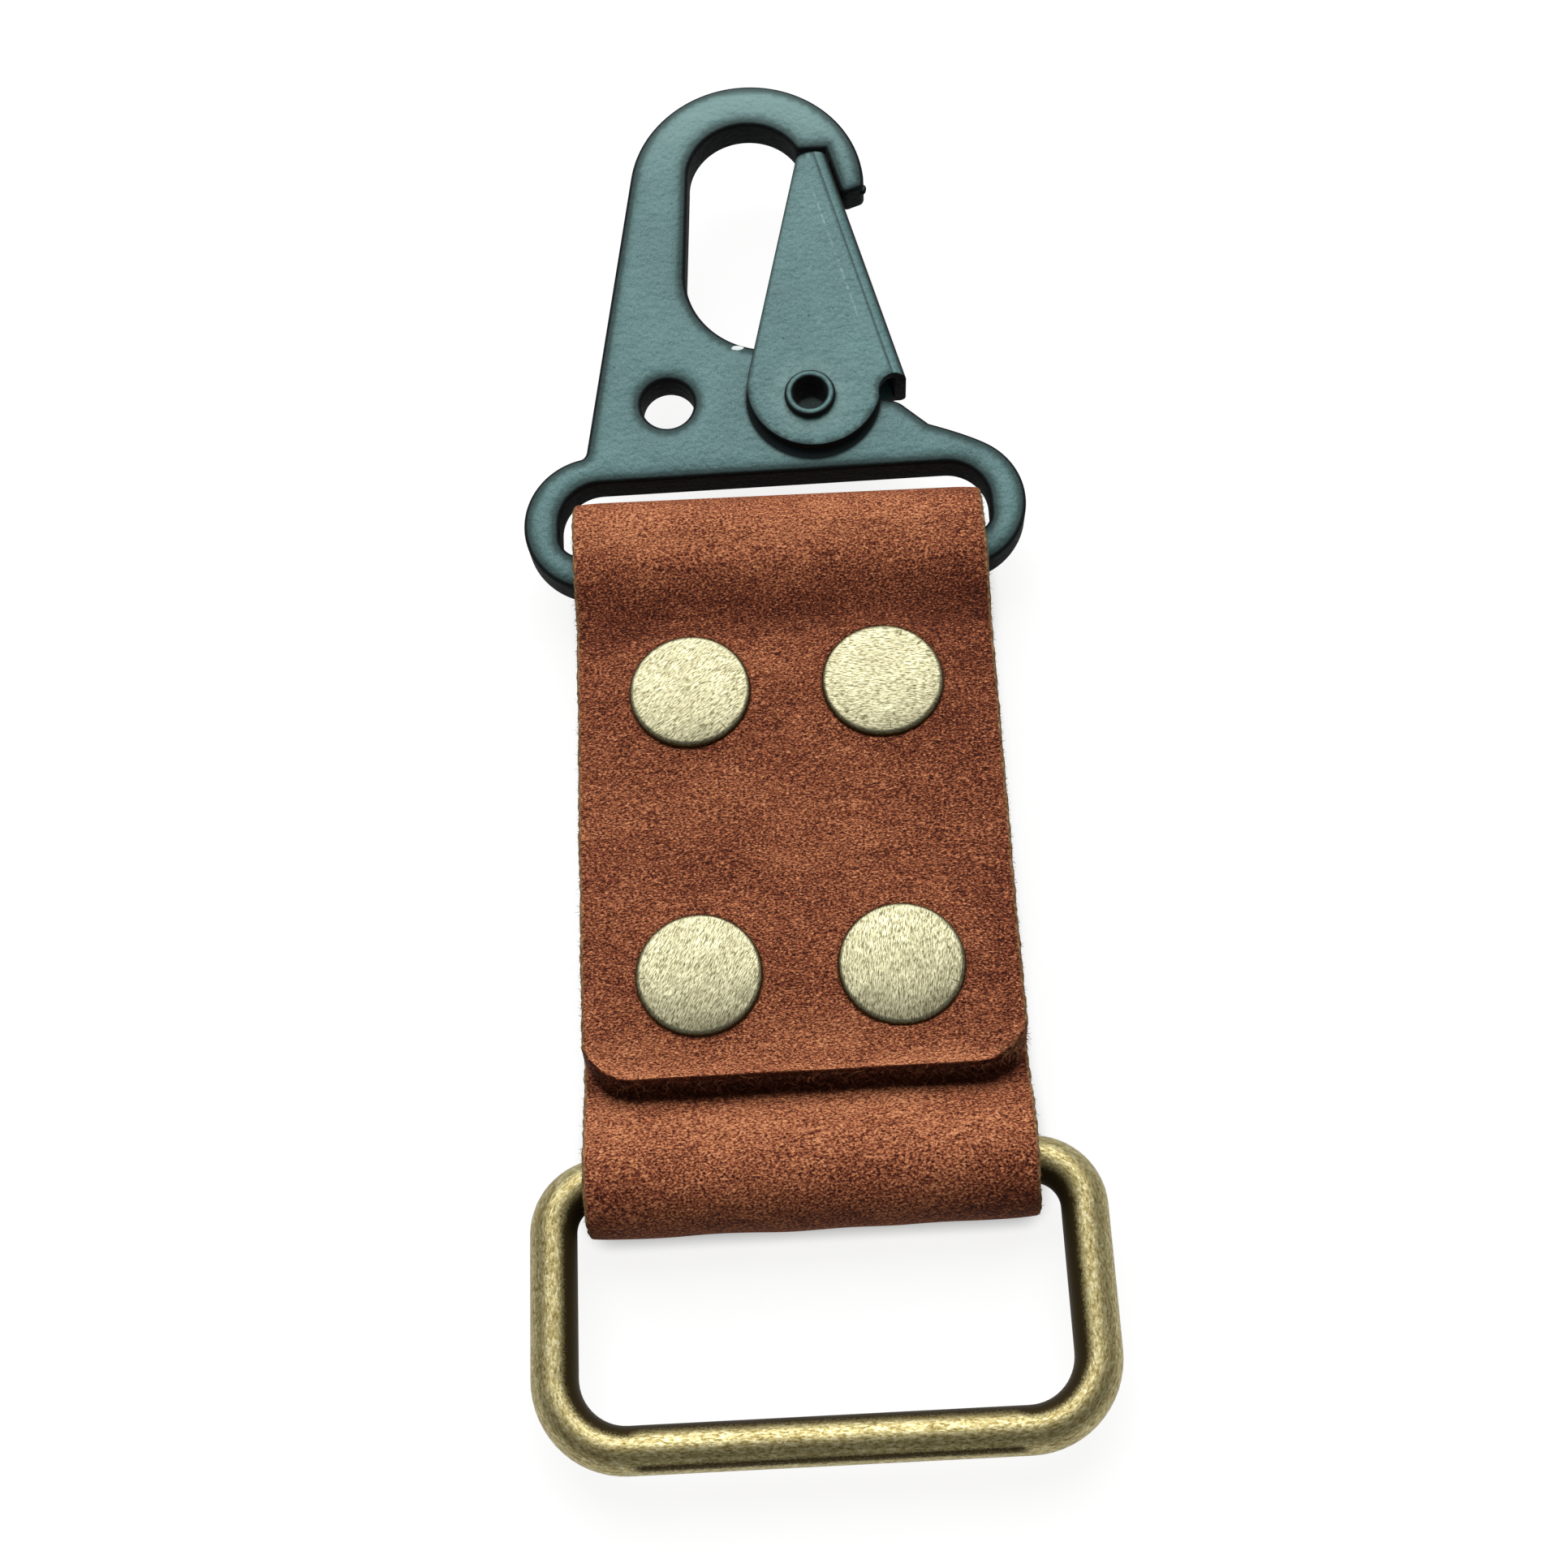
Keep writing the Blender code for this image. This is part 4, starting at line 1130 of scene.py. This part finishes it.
def build_fibres(path):
    """Loose fibres on the cut edges and along the flap's end, thickest at its right corner."""
    y, z, ty, tz, along = path
    rng = random.Random(SEED)
    verts, faces, values = [], [], leather_values()

    def grow(root, direction, length, radius, curl, end, raw=1.0, tone=0.6):
        fresh, links = fibre(rng, root, direction, length, radius, curl)
        base = len(verts)
        verts.extend(fresh)
        faces.extend(tuple(base + i for i in link) for link in links)
        values["strip"].extend((root[0], rng.random() * 40, root[2]) for _ in fresh)
        for name, value in (("raw", raw), ("worn_end", end), ("flesh", 0.0), ("tone", tone)):
            values[name].extend(value for _ in fresh)

    half = strap_width / 2
    hidden_from = np.argmax(along > along[-1] - (middle_end_y - flap_end_y))
    for _ in range(side_fibres):
        row = rng.randrange(18, hidden_from)
        side = rng.choice((-1, 1))
        depth = rng.uniform(-0.95, 0.95) * half_leather
        root = (strap_x + side * (half - 0.05), y[row] - tz[row] * depth,
                z[row] + ty[row] * depth)
        aim = (side, rng.gauss(0, 0.9), rng.gauss(0, 0.6))
        grow(root, aim, rng.uniform(0.12, 0.42), rng.uniform(0.012, 0.022), 0.9, 0.0)
    for _ in range(end_fibres):
        x = rng.uniform(-1, 1) * (half - 0.6)
        past = max(0.0, abs(x) - half + flap_corner)
        step = corner_inset(past)
        depth = rng.uniform(-0.95, 0.9) * half_leather
        spot = flap_end_y + step
        tilt = 2 * flap_lift / flap_lift_length * (1 - step / flap_lift_length)
        lying = rng.random() < 0.45
        root = (strap_x + x * 0.998, spot + depth * tilt - 0.22 * lying, flap_height(spot) + depth)
        outward = max(0.0, past / flap_corner) * math.copysign(1, x)
        aim = (outward + rng.gauss(0, 2.0 if lying else 0.6),
               -0.2 if lying else -1 + abs(outward) * 0.5, rng.gauss(0, 0.5))
        worn = rng.choice((0.0, 0.6, 0.8)) if lying else rng.uniform(0.6, 1.0)
        length = rng.uniform(0.25, 0.9) * (1 - 0.85 * abs(outward))
        grow(root, aim, length, rng.uniform(0.025, 0.06), 2.4, worn, 0.0, 0.7)
    for index in range(corner_fibres):
        past = flap_corner * math.sin(rng.uniform(0.5, 1.25)) * 0.97
        x = half - flap_corner + past
        spot = flap_end_y + corner_inset(past)
        root = (strap_x + x - 0.05, spot + 0.12,
                flap_height(spot) + half_leather - rng.uniform(0, 0.4))
        aim = (rng.gauss(-0.4, 0.6), rng.gauss(-0.3, 0.7), rng.gauss(0.4, 0.4))
        bold = 1.7 if index % bold_fibre_every == 0 else 1.0
        length, radius = rng.uniform(0.5, 1.2) * bold, rng.uniform(0.03, 0.05) * bold
        grow(root, aim, length, radius, 3.2, 0.0, 0.15, 0.9)
    fibres = mesh_object("strap_fibres", verts, faces)
    set_all_values(fibres, values)
    dress(fibres, LEATHER, "holder", "leather")


# ---------------------------------------------------------------- caps

def cap_profile():
    """Cap in section, from the top's middle over the shoulder and lip to the inside."""
    flat, low = cap_radius - cap_shoulder, cap_height - cap_crown
    outer = [(0, cap_height)]
    outer += [(flat * share, cap_height - cap_crown * share ** 2.4)
              for share in np.linspace(0.12, 1, 10)]
    outer += [(flat + cap_shoulder * math.sin(a), low - cap_shoulder * 0.9 * (1 - math.cos(a)))
              for a in np.radians((20, 40, 58, 74, 90))]
    lip = cap_radius - cap_lip
    outer += [(cap_radius, 0.3), (cap_radius - 0.02, 0.14), (cap_radius - 0.1, 0.03), (lip, 0)]
    inner = [(cap_radius - 0.75, 0), (cap_radius - 0.75, 0.18), (lip, 0.18), (lip, 0.43),
             (3.1, 0.67), (0, 0.67)]
    return outer + inner


def build_cap(node, place, brush_deg, seed, rear=False):
    matrix = HOLDER @ Matrix.Translation(place)
    if rear:
        matrix = matrix @ Matrix.Rotation(math.pi, 4, "X")
    verts, faces = revolve(cap_profile())
    cap = mesh_object(node + "_brass", verts, [face[::-1] for face in faces], matrix)
    x, y, z = np.array(verts).T
    radius = np.hypot(x, y) / cap_radius
    turn = math.radians(brush_deg)
    along = x * math.cos(turn) + y * math.sin(turn)
    across = -x * math.sin(turn) + y * math.cos(turn)
    set_values(cap, "brush", np.c_[along + seed * 13, across, z + seed * 7])
    wall = np.clip((radius - 0.925) / 0.06, 0, 1)
    set_values(cap, "patina_and_shade", wall * np.clip((cap_height - z) / 0.35, 0, 1))
    set_values(cap, "rim", radius)
    set_values(cap, "local", np.c_[x, y, np.full(len(x), seed)])
    cap.data.set_sharp_from_angle(angle=math.radians(sharp_deg))
    dress(cap, CAP_BRASS, "holder", "antique_brass", node)


def build_caps():
    """Shells from the front and from behind; the hidden pieces keep their own mesh."""
    for index, ((x, y), turn) in enumerate(zip(rivet_places(), cap_turns), start=1):
        build_cap(f"front_cap_{index}", (x, y, strap_front_z + leather_gap), turn, index)
        build_cap(f"rear_cap_{index}", (x, y, strap_back_z - leather_gap), turn + 25,
                  index + 4, True)
        for kind in ("front_socket", "rear_post"):
            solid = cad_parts[f"{kind}_{index}"]
            solid.data.materials.clear()
            solid.data.materials.append(PLAIN_BRASS)


# ---------------------------------------------------------------- ring

def build_ring():
    half, drop = ring_half_width, ring_drop
    outline = rounded_polygon([
        (-half, -drop, ring_lower_corner), (half, -drop, ring_lower_corner),
        (half, 0, ring_upper_corner), (-half, 0, ring_upper_corner)])
    line = []
    for start, end in zip(outline, outline[1:] + outline[:1]):
        count = max(1, round(math.dist(start, end)))
        line += [(*(a + (b - a) * k / count for a, b in zip(start, end)), 0)
                 for k in range(count)]
    hidden = min(range(len(line)), key=lambda i: math.dist(line[i], (0, 0, 0)))
    line = line[hidden:] + line[:hidden]
    verts, faces, where = sweep_tube(line, wire_radius, ring_sides)
    matrix = HOLDER @ Matrix.Translation((0, 0, ring_z))
    ring = mesh_object("ring_wire", verts, faces, matrix)
    points = np.array(verts)
    centers = np.repeat(np.array(line), ring_sides, axis=0)
    x, y, _ = centers.T
    out = points - centers
    inward = np.array((0, -drop / 2, 0)) - centers
    inward[:, 2] = 0
    on_bars = (y > -ring_end_reach) | (y < -drop + ring_end_reach)
    inward[:, 0] = np.where(np.abs(x) > half - ring_end_reach, inward[:, 0], 0)
    inward[:, 1] = np.where(on_bars, inward[:, 1] * 3, 0)
    inward /= np.maximum(np.hypot(inward[:, 0], inward[:, 1]), 1e-6)[:, None]
    inward = (out * inward).sum(1) / wire_radius
    under = -out[:, 2] / wire_radius
    bar = np.abs(x) < half - ring_lower_corner
    start = np.where(bar, bar_patina_start, bend_patina_start)
    patina_and_shade = np.clip((inward - start) / patina_run, 0, 1)
    patina_and_shade = patina_and_shade + under_patina * np.clip((under - 0.1) / 0.9, 0, 1)
    # Painted reflection: a dark band along the lower bar at a fixed lean.
    lean = np.degrees(np.arctan2(-out[:, 1], out[:, 2]))
    band = bar * (y < -ring_end_reach) * np.exp(-((lean - band_lean_deg) / band_width_deg) ** 2)
    patina_and_shade += even_patina + bend_patina * ~bar + dark_reflection_band * band
    set_values(ring, "brush", np.c_[np.array(where), points[:, 2]])
    set_values(ring, "patina_and_shade", np.clip(patina_and_shade, 0, 1.2))
    dress(ring, RING_BRASS, "ring", "antique_brass", "ring")


# ---------------------------------------------------------------- snap hook

def gate_lean():
    reach = Vector((nose_in_x - closing_gap - pivot[0], nose_end_y - pivot[1]))
    return math.atan2(reach.y, reach.x) - math.acos(gate_back / reach.length)


def back_line_x(y, out=0.0):
    lean = gate_lean()
    return pivot[0] + (gate_back + out - (y - pivot[1]) * math.sin(lean)) / math.cos(lean)


def plate_outline():
    """Outline from the right lug's foot up round the boss and the eye to the left lug."""
    lug_top = lug_y + lug_radius
    slope_foot = (lug_x - slope_foot_inset, lug_top + slope_foot_rise)
    points = arc((lug_x, lug_y), lug_radius, -90, lug_end_deg)
    slope_bend = circle_point(points[-1], slope_run, lug_end_deg + 90)
    points += bend(points[-1], slope_bend, slope_foot)[1:]
    x, y = pivot[0] + boss_radius + shoulder_width, pivot[1] - shoulder_drop
    points += bend((x + shoulder_round, y - shoulder_round), (x, y), (x - shoulder_round, y))
    points += arc(pivot, boss_radius, 0, 90)
    points += arc(eye_foot, eye_foot_radius, 270, eye_foot_end_deg)
    lip_deg = math.degrees(math.asin((notch_y - eye_top[1]) / eye_top_radius))
    points += arc(eye_top, eye_top_radius, 180, lip_deg + lip_blend_deg)
    before, lip = (circle_point(eye_top, eye_top_radius, lip_deg + more)
                   for more in (lip_blend_deg, 0))
    notch = (back_line_x(notch_y, closing_gap), notch_y)
    points += fillet(before, lip, notch, nose_round)
    points.append(notch)
    nose_deg = math.degrees(math.asin((nose_end_y + nose_slant - head[1]) / head_radius))
    nose_in = (nose_in_x, nose_end_y)
    nose_out, after = (circle_point(head, head_radius, nose_deg + more)
                       for more in (0, nose_blend_deg))
    points += fillet(notch, nose_in, nose_out, nose_round)
    points += fillet(nose_in, nose_out, after, nose_round)
    neck = (-lug_x - neck_offset, lug_top + neck_height)
    reach = Vector((head[0] - neck[0], head[1] - neck[1]))
    lean = math.degrees(math.atan2(reach.y, reach.x) + math.asin(head_radius / reach.length))
    points += arc(head, head_radius, nose_deg + nose_blend_deg, 90 + lean)
    left = arc((-lug_x, lug_y), lug_radius, left_lug_start_deg, 270)
    points += bend(neck, (neck[0] - neck_lean, lug_top), left[0])[:-1]
    return points + left


def slot_outline():
    return rounded_polygon([(-slot_half, bar_half, slot_lower_corner),
                            (slot_half, bar_half, slot_lower_corner),
                            (slot_half, slot_top, slot_upper_corner),
                            (-slot_half, slot_top, slot_upper_corner)])


def paint_values(item):
    """Values that the paint reads: place in the hook and how level the surface is."""
    points = local_points(item, HOOK)
    set_values(item, "place", points)
    up = np.array(HOOK.to_3x3()) @ np.array((0, 0, 1))
    set_values(item, "face", np.abs(vertex_values(item, "normal") @ up))
    return points


def pocket_outline():
    """Round well, a channel for the free leg's swing and a notch for the fixed leg."""
    points = []
    for angle, leg in ((free_leg_deg - 90, free_leg_deg),
                       (channel_end_deg, free_leg_deg + gate_opening_deg)):
        rim = circle_point(pivot, pocket_radius, angle)
        points.append(circle_point(rim, boss_radius + cutter_reach, leg))
    fixed = spring_line()[0]
    notch = math.degrees(math.atan2(fixed.y, fixed.x))
    low, high = notch - notch_half_deg, notch + notch_half_deg
    points += arc(pivot, pocket_radius, channel_end_deg, low)
    points += arc(pivot, pocket_radius + notch_reach, low, high)
    return points + arc(pivot, pocket_radius, high, free_leg_deg + 270)


def build_plate():
    outlines = [plate_outline(), slot_outline(), circle(round_hole, round_hole_radius),
                circle(pivot, pivot_bore_radius)]
    plate = flat_piece("hook_plate_paint", outlines, plate_half * 2, plate_round, 5)
    rims = ease_level(plate, plate_half, plate_round, plate_crown, plate_crown_reach)
    pocket = flat_piece("pocket", [pocket_outline()], spring_depth + cutter_reach)
    middle = plate_half - spring_depth / 2 + cutter_reach / 2
    pocket.data.transform(Matrix.Translation((0, 0, middle)))
    plate = cut_out(plate, pocket)
    plate = even_normals(place_mesh(plate, HOOK), sharp_deg)
    paint_values(plate)
    shade_edges(plate, plate_half, *rims)
    dress(plate, PAINT, "hook", "black_paint", "hook_plate")


def gate_outline():
    """Outline of the folded gate from in front, closed."""
    tip_x, foot_x = back_line_x(gate_tip_y), back_line_x(gate_foot_y)
    left, low = tip_x - gate_tip_width, gate_tip_y - gate_tip_radius
    points = [(tip_x, gate_tip_y)]
    points += bend((tip_x - gate_tip_flat, gate_tip_y), (left, gate_tip_y), (left, low))
    points += arc(gate_round, gate_round_radius, 168, 345)
    relief = (foot_x - gate_relief_inset, gate_foot_y + gate_relief_rise - gate_relief_radius)
    points += arc(relief, gate_relief_radius, 190, 90, 6)
    points.append((foot_x, gate_foot_y))
    return points


def channel_section():
    """The folded sheet seen along its fold, with its back at X = 0."""
    reach = gate_round_radius * 2 + gate_back
    inner = cheek_front - gate_sheet
    half = [(0, cheek_front, gate_fold), (-reach, cheek_front, 0), (-reach, inner, 0),
            (-gate_sheet, inner, gate_inner_fold)]
    return rounded_polygon(half + [(x, -y, radius) for x, y, radius in reversed(half)])


def build_gate():
    blank = flat_piece("gate_blank", [gate_outline(), circle(pivot, gate_bore_radius)],
                       cheek_front * 2 + cutter_reach * 2)
    gate = flat_piece("gate_paint", [channel_section()], gate_tip_y + gate_foot_y)
    middle = (gate_tip_y + gate_foot_y) / 2
    turn = Matrix.Rotation(gate_lean(), 4, "Z") @ Matrix.Rotation(math.pi / 2, 4, "X")
    gate.data.transform(Matrix.Translation((back_line_x(middle), middle, 0)) @ turn)
    gate = cut_out(gate, blank, "INTERSECT")
    soften = gate.modifiers.new("soften", "BEVEL")
    soften.width = gate_edge_round
    soften.segments = 4
    soften.limit_method = "ANGLE"
    soften.angle_limit = math.radians(40)
    gate = evaluated(gate)
    rims = ease_level(gate, cheek_front, gate_edge_round, gate_crown, gate_crown_reach)
    gate = even_normals(place_mesh(gate, HOOK))
    paint_values(gate)
    shade_edges(gate, cheek_front, *rims, fold=True)
    dress(gate, GATE_PAINT, "gate", "black_paint", "gate")


def build_rivet():
    """Tube through the gate and the plate, rolled over on both cheeks."""
    seat = cheek_front + metal_gap
    low = seat + rivet_head_height - rivet_roll
    upper = [(barrel_radius - rivet_roll * math.cos(a), low + rivet_roll * math.sin(a))
             for a in np.radians(np.linspace(0, 180, 15))]
    upper += [(rivet_head_radius, seat + rivet_head_foot),
              (rivet_head_radius - rivet_head_foot, seat), (barrel_radius, seat)]
    lower = [(radius, -height) for radius, height in reversed(upper)]
    bore = [(upper[0][0], height) for height in (-0.75, -0.3, 1.2)]
    verts, faces = revolve(upper + lower + bore + upper[:1], 72)
    matrix = HOOK @ Matrix.Translation((*pivot, 0))
    rivet = mesh_object("gate_rivet_paint", verts, [face[::-1] for face in faces], matrix)
    weld(rivet, 1e-7, True)
    rivet.data.set_sharp_from_angle(angle=math.radians(sharp_deg))
    x, y, z = paint_values(rivet).T
    away = np.hypot(x - pivot[0], y - pivot[1])
    # Painted light: the lower bore is pale, as the lit floor seen through the tube.
    set_values(rivet, "bore_light", (away < bore_light_radius) * np.clip((-0.3 - z) / 0.4, 0, 1))
    dress(rivet, RIVET_PAINT, "hook", "black_paint", "gate_rivet")


def build_drip():
    """The small drop of paint that hangs at the outer corner of the nose."""
    profile = [(0, 0), (0.16, 0.03), (0.27, 0.12), (0.31, 0.25), (0.28, 0.4), (0.27, 0.55),
               (0.36, 0.75), (0.5, 0.9)]
    verts, faces = revolve(profile, 28)
    verts = [(-z, y * 1.35, x) for x, y, z in verts]
    corner = (head[0] + head_radius + 0.18, nose_end_y + nose_slant + 0.15, 0.6)
    matrix = HOOK @ Matrix.Translation(corner) @ Matrix.Rotation(math.radians(-12), 4, "Z")
    drip = mesh_object("paint_drip", verts, faces, matrix)
    paint_values(drip)
    dress(drip, PAINT, "hook", "black_paint")


def spring_line():
    """Line of the spring about the pivot: fixed leg's end, coil, free leg's end."""
    start = free_leg_deg - 90 - spring_turns * 360
    count = int(spring_turns * spring_steps)
    coil = []
    for step in range(count + 1):
        turn = circle_point((0, 0), spring_mean, start + spring_turns * 360 * step / count)
        coil.append(Vector((*turn, spring_pitch * spring_turns * step / count)))
    fixed = coil[0] + Vector((coil[0].y, -coil[0].x, 0)).normalized() * fixed_leg
    normal = Vector(circle_point((0, 0), 1, math.degrees(gate_lean())))
    leg = Vector(circle_point((0, 0), 1, free_leg_deg))
    back = gate_back - gate_sheet - spring_wire / 2 - closing_gap
    reach = (back - coil[-1].to_2d().dot(normal)) / leg.dot(normal)
    return [fixed, *coil, coil[-1] + (leg * reach).to_3d()]


def build_spring():
    verts, faces, _ = sweep_tube(spring_line(), spring_wire / 2, 14, False)
    low = plate_half - spring_depth + spring_wire / 2 + metal_gap
    matrix = HOOK @ Matrix.Translation((*pivot, low))
    spring = mesh_object("gate_spring_wire", verts, faces, matrix)
    dress(spring, STEEL, "hook", "steel", "gate_spring")


# ---------------------------------------------------------------- surroundings

def build_floor():
    """Plain pale floor: white to the camera apart from the soft shadow on it, cast by the lamp and
    painted darker near contact.
    """
    s = Shader("pale_floor")
    path = s.add("LightPath").node.outputs
    seen = s.math("MAXIMUM", path["Is Camera Ray"], path["Is Glossy Ray"])
    seen = s.math("MAXIMUM", seen, path["Is Transmission Ray"])
    lit = s.add("BsdfDiffuse", {"Color": (0.17, 0.175, 0.18, 1)})
    # Painted contact shadow: the glow dims where a solid comes within 2 mm.
    near = s.add("AmbientOcclusion", {"Distance": 2 * MM}, 1)
    far = s.vector_value("LENGTH", s.add("NewGeometry"))
    strength = s.span(far, 0.12, 0.4, 1.0, 1.2)
    strength = s.math("MULTIPLY", strength, s.span(near, 0.3, 0.9, 0.2, 1.0))
    glow = s.add("Emission", {"Color": (0.88, 0.875, 0.87, 1), "Strength": strength})
    white = s.add("AddShader", {0: lit, 1: glow})
    plain = s.add("BsdfDiffuse", {"Color": (0.62, 0.62, 0.62, 1)})
    surface = s.add("MixShader", {0: seen, 1: plain, 2: white})
    s.feed(s.tree.nodes["Material Output"], {"Surface": surface})
    corners = [(x * floor_half, y * floor_half, 0) for x, y in ((-1, -1), (1, -1), (1, 1), (-1, 1))]
    floor = mesh_object("floor", corners, [(0, 1, 2, 3)],
                        Matrix.Translation((0, 0, -floor_drop)), False)
    floor.data.materials.append(s.material)


def build_world(front, back, glossy_wall):
    """Soft room light, dimmer from the front than from the back; the camera sees white."""
    world = bpy.data.worlds.new("studio")
    world.use_nodes = True
    w = Nodes(world.node_tree)
    split = w.add("SeparateXYZ", {0: w.add("TexCoord", output="Generated")}).node.outputs
    room = w.span(split[1], -1.0, 1.0, front, back, interpolation_type="SMOOTHSTEP")
    wall = w.math("MAXIMUM", room, w.span(split[2], 1.0, 0.1, 0.0, glossy_wall))
    path = w.add("LightPath").node.outputs
    seen = w.add("Mix", {0: path["Is Glossy Ray"], 2: room, 3: wall})
    strength = w.add("Mix", {0: path["Is Camera Ray"], 2: seen, 3: 1.0})
    w.feed(w.tree.nodes["Background"], {"Strength": strength, "Color": (1, 1, 1, 1)})
    bpy.context.scene.world = world


def area_light(name, direction, distance, size, radiance, target):
    """A soft box that looks at the target from a direction, at a given radiance."""
    light = bpy.data.lights.new(name, "AREA")
    light.shape = "RECTANGLE"
    light.size, light.size_y = size
    light.energy = radiance * math.pi * size[0] * size[1]
    item = new_object(name, light)
    aim = Vector(direction).normalized()
    item.location = Vector(target) + aim * distance
    item.rotation_euler = aim.to_track_quat("Z", "Y").to_euler()
    item.visible_camera = False


def build_camera():
    """The view to be matched, found from the caps and the strap's edges."""
    turn = Matrix.Identity(3)
    for degrees, axis in zip(camera_turn, "XYZ"):
        turn = turn @ Matrix.Rotation(math.radians(degrees), 3, axis)
    place = (turn.transposed() @ -Vector(camera_shift)) * camera_scale
    place += Vector((strap_x, ring_axis_y + camera_aim_y, strap_front_z))
    camera = bpy.data.cameras.new("camera")
    camera.sensor_fit = "HORIZONTAL"
    camera.sensor_width = sensor_width
    camera.lens = focal_pixels / photo_pixels * sensor_width
    camera.clip_start = 0.005
    item = new_object("camera", camera)
    item.matrix_world = Matrix.Translation(place * MM) @ turn.transposed().to_4x4()
    bpy.context.scene.camera = item


build_fibres(build_strap())
build_caps()
build_ring()
build_plate()
build_gate()
build_rivet()
build_drip()
build_spring()
build_floor()
build_world(0.1, 0.52, 0.5)
build_camera()
area_light("key_light", (-0.05, math.sin(key_tilt), math.cos(key_tilt)), 1.0, (1.1, 0.9), 3.7,
           (0, 0.005, 0.008))

bpy.context.scene.view_settings.view_transform = "Standard"
